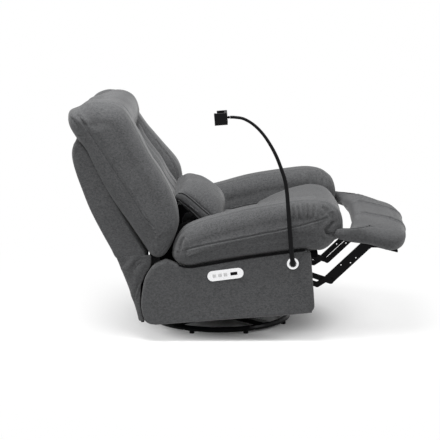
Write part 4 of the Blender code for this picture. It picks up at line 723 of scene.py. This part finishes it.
def from_foot(x, y, z):
    """A point of the footrest's own frame, whose Y runs along the pad, in the world."""
    turn = -FOOT_SLOPE - ROCK_BACK
    c, s = math.cos(turn), math.sin(turn)
    return (x + SWIVEL[0], FOOT_PLACE.y + y * c - z * s, FOOT_PLACE.z + y * s + z * c)


def footrest_pad():
    """The footrest's pad: a plate outline with two ears, domed on top, with two lengthwise seams."""
    right = [(x * FOOT_WIDE, y * FOOT_REACH) for x, y in FOOT]
    outline = right + [(0.0, 0.255 * FOOT_REACH)] + [(-x, y) for x, y in right[:0:-1]]
    low = 0.0225 + 0.009 + 0.0003
    half = 0.0425
    ear = [(0.42, 0.125), (0.395, 0.06), (0.33, 0.0), (0.22, -0.07), (0.0, -0.10)]
    spine = ear + [(-x, y) for x, y in ear[-2::-1]]

    def lay(points):
        """Turn points from (thickness, x, y) to (x, y, height), with the droop and the dome."""
        level, x, y = points[..., 0], points[..., 1], points[..., 2]
        share = np.minimum(1.0, (x / FOOT_WIDE) ** 2)
        upper = ramp(level, low, low + 2 * half)
        droop = (0.035 * upper - 0.004) * ramp(y, -0.02, 0.145) * ramp(np.abs(x), 0.17, 0.33)
        droop = droop + 0.014 * (1 - upper) * ramp(y, -0.02, -0.11) * ramp(np.abs(x), 0.10, 0.28)
        dip = 0.012 * upper * ramp(np.abs(x), 0.26, 0.39) * ramp(y, 0.10, -0.05)
        dome = 0.010 * upper * (1 - share) - dip
        return np.stack([x, y, level - droop + dome], axis=-1)

    pad = stuffed("footrest_cover", outline, from_foot, CLOTH, low + half, half=half - 0.003, rim=0.036,
                  crown=0.003, spine=spine, around=600, belt=6, rim_in=0.058, shape=lay)
    undulate(pad, size=0.11, height=0.003, seed=5.0)
    for word, x in (("right", -0.125), ("left", 0.118)):
        line = [from_foot(x * (1 + 0.1 * (y + 0.05)), y, low + 2 * half)
                for y in np.linspace(0.022, -0.160, 12)]
        seam(pad, f"footrest_seam_{word}", line, "footrest", *SEAMS["footrest"])
    for x, y in ((-0.335, 0.035), (-0.350, 0.055), (-0.362, 0.080), (0.335, 0.035), (0.352, 0.060)):
        crease(pad, [from_foot(x, y, low + 2 * half), from_foot(x * 1.05, y - 0.045, low + 2 * half)],
               *FOLDS["small_tuck"])
    join_body(pad, "footrest", "footrest_pad")


LUMBAR_BOX = ((-0.0535, -0.0406), (0.214, 0.203))
LUMBAR = shares(((1.0, 0.75), (0.935, 0.85), (0.72, 1.0), (0.48, 0.965), (0.24, 0.81), (0.065, 0.62),
                 (0.0, 0.39), (0.04, 0.17), (0.16, 0.035), (0.34, 0.0), (0.47, 0.075), (0.67, 0.27),
                 (0.81, 0.445), (0.945, 0.60)), *LUMBAR_BOX)
LUMBAR_AXIS = (0.19065 - 0.214 * 0.75, 0.322 + 0.60 * 0.208 + 0.203 * 0.2)


def from_lumbar(x, y, z):
    """A point of the pillow's frame, in the world."""
    return from_chassis(x, y + LUMBAR_AXIS[0], z + LUMBAR_AXIS[1])


PILLOW_END = ((0.184, 0.606), (0.170, 0.621), (0.145, 0.617), (0.110, 0.586), (0.075, 0.549),
              (0.045, 0.518), (0.018, 0.490), (0.000, 0.468), (0.004, 0.452), (0.022, 0.448),
              (0.050, 0.463), (0.090, 0.503), (0.130, 0.547), (0.165, 0.580))


def lumbar():
    """A boxed pillow: crowned faces that close onto a gusset at each end, with welts on both edges."""
    per, half = 18, 0.205
    middle = keyed(LUMBAR, per)
    end = keyed([(y - LUMBAR_AXIS[0], z - LUMBAR_AXIS[1]) for y, z in PILLOW_END], per)
    count = len(middle)
    keys = np.arange(count) / per
    xs = half * np.sin(np.linspace(-0.5, 0.5, 75) * math.pi)
    rows = []
    for x in xs:
        u = abs(x) / half
        full = max(0.0, 1 - u ** 2.6) ** 0.55
        ring = end + (middle - end) * full
        pucker = (math.exp(-((u - 0.955) / 0.035) ** 2) * np.sin(keys * 9.0 * math.pi)
                  * ((keys > 1.2) & (keys < 7)))
        ring = ring + 0.0016 * pucker[:, None] * np.array((-0.64, 0.77))
        rows.append(np.column_stack([np.full(count, x), ring]))
    spine = [(y - LUMBAR_AXIS[0], z - LUMBAR_AXIS[1]) for y, z in
             ((0.160, 0.595), (0.085, 0.525), (0.020, 0.466))]
    inner = smooth_ring(to_spine(end, spine), 6)
    caps = []
    for k in range(1, 9):
        c = k / 8
        caps.append((half + 0.004 * math.sin(0.5 * math.pi * c), end + (inner - end) * c))
    near = [np.column_stack([np.full(count, -x), ring]) for x, ring in reversed(caps)]
    far = [np.column_stack([np.full(count, x), ring]) for x, ring in caps]
    points = np.array(near + rows + far)
    world = [from_lumbar(*q) for q in points.reshape(-1, 3)]
    pad = new_object("lumbar_cover", world, ring_faces(len(points), count), CLOTH)
    close_ends(pad)
    undulate(pad, size=0.07, height=0.0022, seed=1.5)
    grid = np.array(world).reshape(len(points), count, 3)
    body = grid[len(near):len(near) + len(rows)]
    for word, first, last in (("upper", 1.25, 7.0), ("lower", 9.0, 13.3)):
        a, b = int(first * per), int(last * per)
        loop = list(body[0, a:b]) + list(body[:, b]) + list(body[-1, b:a:-1]) + list(body[::-1, a])
        loop = [Vector(q) for k, q in enumerate(loop) if k % 2 == 0]
        crease(pad, loop + loop[:1], width=0.0075, depth=0.0030, swell=0.0, smooth=False)
        welt = tube(f"pillow_welt_{word}", lay_on(pad, loop, 0.0006), 0.0034, CLOTH, closed=True)
        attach(welt, "lumbar")
    join_body(pad, "lumbar", "lumbar_pillow")


# ---------------------------------------------------------------- back

BACK_BOX = ((-0.136, -0.080), (0.248, 0.731))
WING = shares(((0.931, 0.985), (0.859, 1.0), (0.698, 0.994), (0.496, 0.998), (0.347, 0.973), (0.173, 0.934),
               (0.065, 0.882), (0.024, 0.808), (0.028, 0.709), (0.036, 0.557), (0.010, 0.451),
               (0.004, 0.335), (0.045, 0.225), (0.135, 0.145), (0.235, 0.100), (0.420, 0.044),
               (0.589, 0.010), (0.718, 0.006), (0.810, 0.034), (0.845, 0.090), (0.899, 0.261),
               (0.965, 0.464), (0.965, 0.644), (0.952, 0.755), (0.980, 0.841), (0.990, 0.930)), *BACK_BOX)
CUSHION_DEPTH = 0.020 - 0.0009 + 0.136 - 0.030
CUSHION = shares(((0.31, 0.93), (0.30, 0.80), (0.215, 0.60), (0.095, 0.36), (0.0, 0.15), (0.04, 0.04),
                  (0.22, 0.0), (0.62, 0.0), (0.96, 0.02), (1.0, 0.12), (1.0, 0.50), (1.0, 0.90),
                  (0.93, 0.985), (0.60, 1.0)), (0.0191 - CUSHION_DEPTH, 0.030), (CUSHION_DEPTH, 0.395))
HEAD = ((-0.085, 0.428), (-0.110, 0.450), (-0.121, 0.490), (-0.118, 0.530), (-0.100, 0.563),
        (-0.070, 0.587), (-0.035, 0.598), (0.005, 0.604), (0.045, 0.602), (0.078, 0.590), (0.096, 0.564),
        (0.098, 0.530), (0.080, 0.514), (0.045, 0.512), (0.016, 0.500), (0.008, 0.470), (-0.012, 0.440),
        (-0.050, 0.424))
SHELL_FRONT = -0.136 + 0.248 + 0.0003
SHELL = shares(((0.0, 0.06), (0.0, 0.50), (0.0, 0.90), (0.08, 0.985), (0.30, 0.965), (0.50, 0.91),
                (0.66, 0.82), (0.81, 0.67), (0.95, 0.45), (1.0, 0.25), (0.985, 0.08), (0.95, -0.02),
                (0.50, -0.06), (0.05, -0.118), (0.0, -0.10)), (SHELL_FRONT, 0.012), (0.100, 0.520))


FAR_WING = ((0.096, 0.545), (0.072, 0.580), (0.035, 0.595), (-0.012, 0.590), (-0.045, 0.568),
            (-0.068, 0.535), (-0.078, 0.490), (-0.085, 0.440), (-0.092, 0.385), (-0.105, 0.306),
            (-0.128, 0.208), (-0.136, 0.140), (-0.125, 0.084), (-0.102, 0.026), (-0.078, -0.007),
            (-0.032, -0.048), (0.010, -0.073),
            (0.042, -0.076), (0.065, -0.055), (0.074, -0.014), (0.087, 0.111), (0.103, 0.259), (0.103, 0.391),
            (0.100, 0.472))


def wing(word, side):
    """A long wing pad. The one on the sitter's right stands taller, and its top corner flops back."""
    spine = [(0.0, 0.53), (0.0, 0.35), (0.0, 0.15), (0.0, 0.02)]
    near = side < 0

    def soften(points):
        """Round the outer top corner."""
        x, y, z = points[..., 0], points[..., 1], points[..., 2]
        out = np.clip((x * side - 0.30) / 0.15, 0, 1)
        top = ramp(z, 0.44, 0.62)
        points[..., 2] = z - 0.020 * out * out * top * (1 - (ramp(y, 0.0, 0.07) if near else 0))
        return points

    pad = stuffed(f"wing_cover_{word}", WING if near else FAR_WING, from_back, CLOTH, side * WING_TRACK,
                  half=0.092, rim=0.062, crown=0.007, spine=spine, around=600, belt=14, bulge=0.003,
                  rim_in=0.062, shape=soften, caps=30)
    undulate(pad, size=0.11, height=0.0035, seed=2.2 + 3 * side)
    if near:
        for path in (((-0.430, 0.058, 0.652), (-0.448, 0.046, 0.600), (-0.452, 0.040, 0.560)),
                     ((-0.420, 0.080, 0.640), (-0.440, 0.070, 0.600), (-0.448, 0.066, 0.570)),
                     ((-0.425, 0.095, 0.560), (-0.446, 0.078, 0.545), (-0.450, 0.060, 0.540)),
                     ((-0.330, 0.020, 0.655), (-0.370, 0.012, 0.652), (-0.410, 0.018, 0.640))):
            crease(pad, [from_back(*q) for q in path], *FOLDS["wing_corner"])
    stitch = ((0.046, 0.610), (0.037, 0.542), (0.024, 0.391), (0.011, 0.238), (0.001, 0.125),
              (-0.004, 0.060))
    for k, shift in enumerate((0.0, 0.007)):
        line = [from_back(side * 0.452, y + shift, z) for y, z in stitch]
        seam(pad, f"wing_stitch_{word}_{k}", line, "back", *SEAMS["wing_stitch"])
    inner = [from_back(side * 0.290, y, z) for y, z in
             ((-0.105, 0.520), (-0.122, 0.450), (-0.130, 0.330), (-0.132, 0.200), (-0.110, 0.090),
              (-0.070, 0.020))]
    seam(pad, f"wing_seam_{word}", inner, "back", *SEAMS["wing"])
    for k in range(9):
        z = 0.485 - 0.012 * k
        line = [from_back(side * x, y, z + drop) for x, y, drop in
                ((0.272, -0.035, 0.000), (0.280, -0.075, -0.014), (0.300, -0.110, -0.034))]
        crease(pad, line, *FOLDS["wing_gather"])
    for k in range(7):
        a = math.radians(-60 + 18 * k)
        line = [from_back(side * 0.448, 0.020 + r * math.sin(a), -0.025 - r * math.cos(a) * 0.8)
                for r in (0.020, 0.060)]
        crease(pad, line, *FOLDS["wing_fan"])
    join_body(pad, "back", f"back_wing_{word}")


def back_cushion():
    """The middle of the back, stitched into four upright channels."""
    spine = [(-0.02, 0.10), (-0.02, 0.36)]

    def channels(points):
        """Sink the front between the channels."""
        x, y, z = points[..., 0], points[..., 1], points[..., 2]
        front = ramp(y, -0.02, -0.06) * ramp(z, 0.13, 0.24)
        points[..., 1] = y - 0.016 * front * np.abs(np.sin(math.pi * x / 0.128)) ** 0.6
        return points

    pad = stuffed("back_cushion_cover", CUSHION, from_back, CLOTH, 0.0, half=0.256, rim=0.030, crown=0.0,
                  spine=spine, around=300, belt=120, bulge=0.003, rim_in=0.030, shape=channels)
    undulate(pad, size=0.12, height=0.002, seed=6.6)
    for k, x in enumerate((-0.128, 0.0, 0.128)):
        line = [from_back(x, y, z) for y, z in
                ((-0.067, 0.400), (-0.068, 0.346), (-0.079, 0.267), (-0.094, 0.172), (-0.104, 0.110),
                 (-0.104, 0.060))]
        seam(pad, f"channel_seam_{k}", line, "back", *SEAMS["channel"])
    join_body(pad, "back", "back_cushion")


def headrest():
    """The crosswise roll at the top of the back."""
    spine = [(-0.065, 0.485), (-0.02, 0.545), (0.05, 0.560)]

    def lean(points):
        """Lower the roll behind and towards one side."""
        x, y, z = points[..., 0], points[..., 1], points[..., 2]
        high = ramp(z, 0.50, 0.58)
        fall = ramp(y, -0.035, 0.075) * ramp(x, 0.17, -0.10)
        peak = ramp(y, 0.00, 0.07) * ramp(x, 0.13, 0.24)
        points[..., 2] = z - 0.040 * x * ramp(z, 0.46, 0.58) - 0.075 * fall * high + 0.012 * peak * high
        return points

    pad = stuffed("headrest_cover", HEAD, from_back, CLOTH, 0.0, half=0.264, rim=0.030, crown=0.0,
                  spine=spine, around=340, belt=60, bulge=0.003, rim_in=0.030, shape=lean)
    undulate(pad, size=0.10, height=0.003, seed=4.4)
    for k in range(13):
        x = -0.24 + 0.04 * k
        line = [from_back(x, y, z) for y, z in ((-0.085, 0.430), (-0.108, 0.448), (-0.119, 0.475))]
        crease(pad, line, *FOLDS["small_tuck"])
    join_body(pad, "back", "headrest")


def shell():
    """The upholstered outer back."""
    outline = [(0.088, z) if y < SHELL_FRONT + 0.001 else (y, z) for y, z in SHELL]
    spine = [(SHELL_FRONT + 0.045, 0.10), (SHELL_FRONT + 0.045, 0.30), (SHELL_FRONT + 0.02, 0.45)]
    pad = stuffed("shell_cover", outline, from_back, CLOTH, 0.0, half=0.416, rim=0.026, crown=0.0,
                  spine=spine, around=340, belt=80, rim_in=0.014)
    undulate(pad, size=0.14, height=0.0025, seed=9.4)
    join_body(pad, "back", "back_shell")


def shade_sheets():
    """Dark sheets between the seat's sides and the arms: painted shade that closes the view through the chair
    where only shadow is seen.
    """
    outline = ((0.05, 0.36), (0.240, 0.325), (0.262, 0.345), (0.264, 0.395), (0.222, 0.452), (0.172, 0.495),
               (0.130, 0.508), (0.05, 0.50))
    for word, side in (("right", -1), ("left", 1)):
        # Each sheet is painted shade, a dark sheet standing in for the shadow in the void beside the seat
        sheet = prism(outline, side * 0.2630, side * 0.2665, from_chassis, f"painted_shade_sheet_{word}")
        sheet.data.materials.clear()
        sheet.data.materials.append(DUST_CLOTH_AND_SHADE)
        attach(sheet, "chassis")


def flap():
    """The loose cloth behind the seat, from the shell's foot to the chassis."""
    turn = RECLINE_BACK
    shell_rear = SHELL_FRONT - 0.0003 + 0.095
    top_y = RECLINE[0] + shell_rear * math.cos(turn) + 0.012 * math.sin(turn)
    top_z = RECLINE[1] - shell_rear * math.sin(turn) + 0.012 * math.cos(turn)
    foot_y, foot_z = FLAP_FOOT
    half, corner, rows, across = 0.412, 0.030, 40, 90
    keys = ((0.0, 0.0, -0.220), (0.10, 0.05, -0.150), (0.20, 0.12, -0.115), (0.40, 0.31, -0.130),
            (0.56, 0.48, -0.245), (0.70, 0.64, -0.430), (0.80, 0.76, -0.660), (0.88, 0.85, -0.740),
            (1.0, 1.0, -0.760))
    heights = np.linspace(0, 1, rows)
    back_share = np.interp(heights, [k[0] for k in keys], [k[1] for k in keys])
    side_share = np.interp(heights, [k[0] for k in keys], [k[2] for k in keys])
    turns = np.linspace(0, math.pi / 2, 6)
    verts = []
    for h, b, s in zip(heights, back_share, side_share):
        z = foot_z + (top_z - foot_z) * h
        rear_y = foot_y + (top_y - foot_y) * b
        front_y = foot_y + s * 0.100
        r = min(corner, (rear_y - front_y) * 0.6)
        path = [(-half, front_y), (-half, front_y + (rear_y - r - front_y) * 0.5)]
        path += [(-half + r - r * math.cos(a), rear_y - r + r * math.sin(a)) for a in turns]
        path += [(x, rear_y) for x in np.linspace(-half + r, half - r, 30)[1:-1]]
        path += [(half - r + r * math.sin(a), rear_y - r + r * math.cos(a)) for a in turns]
        path += [(half, front_y + (rear_y - r - front_y) * 0.5), (half, front_y)]
        path = np.array(path)
        step = np.concatenate([[0], np.cumsum(np.linalg.norm(np.diff(path, axis=0), axis=1))])
        for d in np.linspace(0, step[-1], across):
            x, y = np.interp(d, step, path[:, 0]), np.interp(d, step, path[:, 1])
            verts.append(from_chassis(x, y, z))
    faces = []
    for r in range(rows - 1):
        for i in range(across - 1):
            low, high = r * across + i, (r + 1) * across + i
            faces.append((low, low + 1, high + 1, high))
    mesh = bpy.data.meshes.new("flap_cover")
    mesh.from_pydata(verts, [], faces)
    mesh.materials.append(CLOTH)
    mesh.shade_smooth()
    cloth = place_object("flap_cover", mesh)
    solid = cloth.modifiers.new("thickness", "SOLIDIFY")
    solid.thickness = 0.004
    solid.offset = -1
    apply_modifiers(cloth)
    refine(cloth, 1)
    for side in (-1, 1):
        for path in (((0.330, 0.400), (0.372, 0.350), (0.405, 0.290)),
                     ((0.350, 0.385), (0.400, 0.345), (0.432, 0.310)),
                     ((0.345, 0.300), (0.372, 0.240), (0.385, 0.190)),
                     ((0.395, 0.400), (0.420, 0.370), (0.455, 0.350))):
            crease(cloth, along(from_chassis, side * half, path), *FOLDS["flap_side"])
    for path in (((-0.36, 0.30), (-0.20, 0.24), (-0.05, 0.21)), ((0.36, 0.31), (0.22, 0.25), (0.06, 0.20)),
                 ((-0.30, 0.38), (-0.10, 0.34), (0.10, 0.33)), ((0.32, 0.39), (0.16, 0.36), (0.02, 0.28))):
        line = [from_chassis(x, foot_y + (z - foot_z) * 0.36, z) for x, z in path]
        crease(cloth, line, *FOLDS["flap_rear"])
    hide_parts("back_skirt")
    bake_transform(cloth)


# ---------------------------------------------------------------- phone arm and base

def arm_neck():
    """The bendable arm, as a smooth tapered tube."""
    outer = -BODY_HALF
    radius, tip_radius, steps = 0.0105, 0.0125 / 2, 160
    nose = -0.006 - radius * 0.4
    start = nose - 0.0003
    out = -0.4875 - outer - start
    route = ((0.000, 0.000, 0.000), (0.10, 0.000, 0.000), (0.22, 0.000, 0.000), (0.60, 0.001, 0.006),
             (0.89, 0.003, 0.020), (1.00, 0.006, 0.042), (1.03, 0.012, 0.105), (1.05, 0.014, 0.200),
             (1.05, 0.014, 0.300), (1.03, 0.013, 0.400), (1.00, 0.014, 0.480), (0.98, 0.032, 0.560),
             (0.95, 0.090, 0.640), (0.92, 0.165, 0.722), (0.90, 0.265, 0.800), (0.88, 0.400, 0.878),
             (0.86, 0.560, 0.940), (0.85, 0.740, 0.982), (0.85, 0.900, 0.996), (0.85, 1.000, 1.000))
    line = [(start + out * a, 0.217 * b, 0.655 * c) for a, b, c in route]
    line = spline(line, steps, False)
    radii = [radius + (tip_radius - radius) * min(1.0, k / (steps - 1) * 1.15) for k in range(steps)]
    world = [from_chassis(outer + p[0], FLANGE[0] + p[1], FLANGE[1] + p[2]) for p in line]
    neck = tube("arm_neck", world, radii, BLACK_PLASTIC, 20)
    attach(neck, "phone_arm")
    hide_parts("phone_neck")


# ---------------------------------------------------------------- scene

SKY = 0.32
FLOOR_HALF = 30.0
# The floor's fade to white: distance from the middle in metres, and share of white
FADE = ((0.30, 0.0), (0.46, 0.50), (0.95, 1.0))
# Name, place, width, height and power of each lamp
LAMPS = (("top", (-0.9, 0.7, 3.6), 1.8, 1.8, 190.0), ("rear", (-1.6, 4.2, 2.4), 2.0, 1.6, 70.0),
         ("front", (-1.2, -3.6, 3.2), 2.0, 1.6, 95.0))
LAMPS_AIM = (0, 0, 0.5)


def studio():
    """A floor that fades to white, soft light and the camera. The floor's white also lights the chair."""
    world = bpy.data.worlds.new("studio")
    bpy.context.scene.world = world
    world.use_nodes = True
    tree = world.node_tree
    back = tree.nodes["Background"]
    back.inputs["Color"].default_value = (1, 1, 1, 1)
    ray = tree.nodes.new("ShaderNodeLightPath")
    seen = compute(tree, "MAXIMUM", ray.outputs["Is Camera Ray"], ray.outputs["Is Glossy Ray"])
    strength = tree.nodes.new("ShaderNodeMapRange")
    strength.inputs["To Min"].default_value = SKY
    strength.inputs["To Max"].default_value = 1.0
    tree.links.new(seen, strength.inputs["Value"])
    tree.links.new(strength.outputs["Result"], back.inputs["Strength"])
    mesh = bpy.data.meshes.new("floor")
    far = FLOOR_HALF
    mesh.from_pydata([(-far, -far, 0), (far, -far, 0), (far, far, 0), (-far, far, 0)], [], [(0, 1, 2, 3)])
    floor = place_object("floor", mesh)
    mat, tree, shader = node_tree("pale_floor")
    shader.inputs["Base Color"].default_value = (0.93, 0.93, 0.93, 1)
    shader.inputs["Roughness"].default_value = 0.9
    shader.inputs["Specular IOR Level"].default_value = 0.1
    place = add(tree, "ShaderNodeTexCoord")
    reach = add(tree, "ShaderNodeVectorMath", operation="LENGTH")
    tree.links.new(place.outputs["Object"], reach.inputs[0])
    fade = add(tree, "ShaderNodeValToRGB")
    fade.color_ramp.interpolation = "B_SPLINE"
    for away, level in FADE:
        stop = fade.color_ramp.elements.new(away / 2)
        stop.color = (level, level, level, 1)
    fade.color_ramp.elements[0].color = (0, 0, 0, 1)
    tree.links.new(compute(tree, "MULTIPLY", reach.outputs["Value"], 0.5), fade.inputs["Fac"])
    white = add(tree, "ShaderNodeEmission")
    mixed = add(tree, "ShaderNodeMixShader")
    tree.links.new(fade.outputs["Color"], mixed.inputs[0])
    tree.links.new(shader.outputs[0], mixed.inputs[1])
    tree.links.new(white.outputs[0], mixed.inputs[2])
    tree.links.new(mixed.outputs[0], tree.nodes["Material Output"].inputs["Surface"])
    mesh.materials.append(mat)
    for name, place, size_x, size_y, power in LAMPS:
        lamp = bpy.data.lights.new(name, "AREA")
        lamp.shape = "RECTANGLE"
        lamp.size, lamp.size_y = size_x, size_y
        lamp.energy = power
        thing = place_object(name, lamp)
        thing.location = place
        thing.rotation_euler = (Vector(LAMPS_AIM) - Vector(place)).to_track_quat("-Z", "Y").to_euler()
    camera = bpy.data.cameras.new("camera")
    camera.lens = CAMERA_LENS
    camera.sensor_width = 36.0
    camera.clip_end = 60.0
    thing = place_object("camera", camera)
    thing.location = CAMERA_AT
    thing.rotation_euler = (Vector(CAMERA_TO) - Vector(CAMERA_AT)).to_track_quat("-Z", "Y").to_euler()
    bpy.context.scene.camera = thing
    bpy.context.scene.view_settings.view_transform = "Standard"


studio()
for side_word, side_sign in (("right", -1), ("left", 1)):
    side_panel(side_word, side_sign)
    arm_pad(side_word, side_sign)
    wing(side_word, side_sign)
seat_cushion()
footrest_pad()
lumbar()
back_cushion()
headrest()
shell()
flap()
shade_sheets()
arm_neck()

bpy.context.view_layer.update()
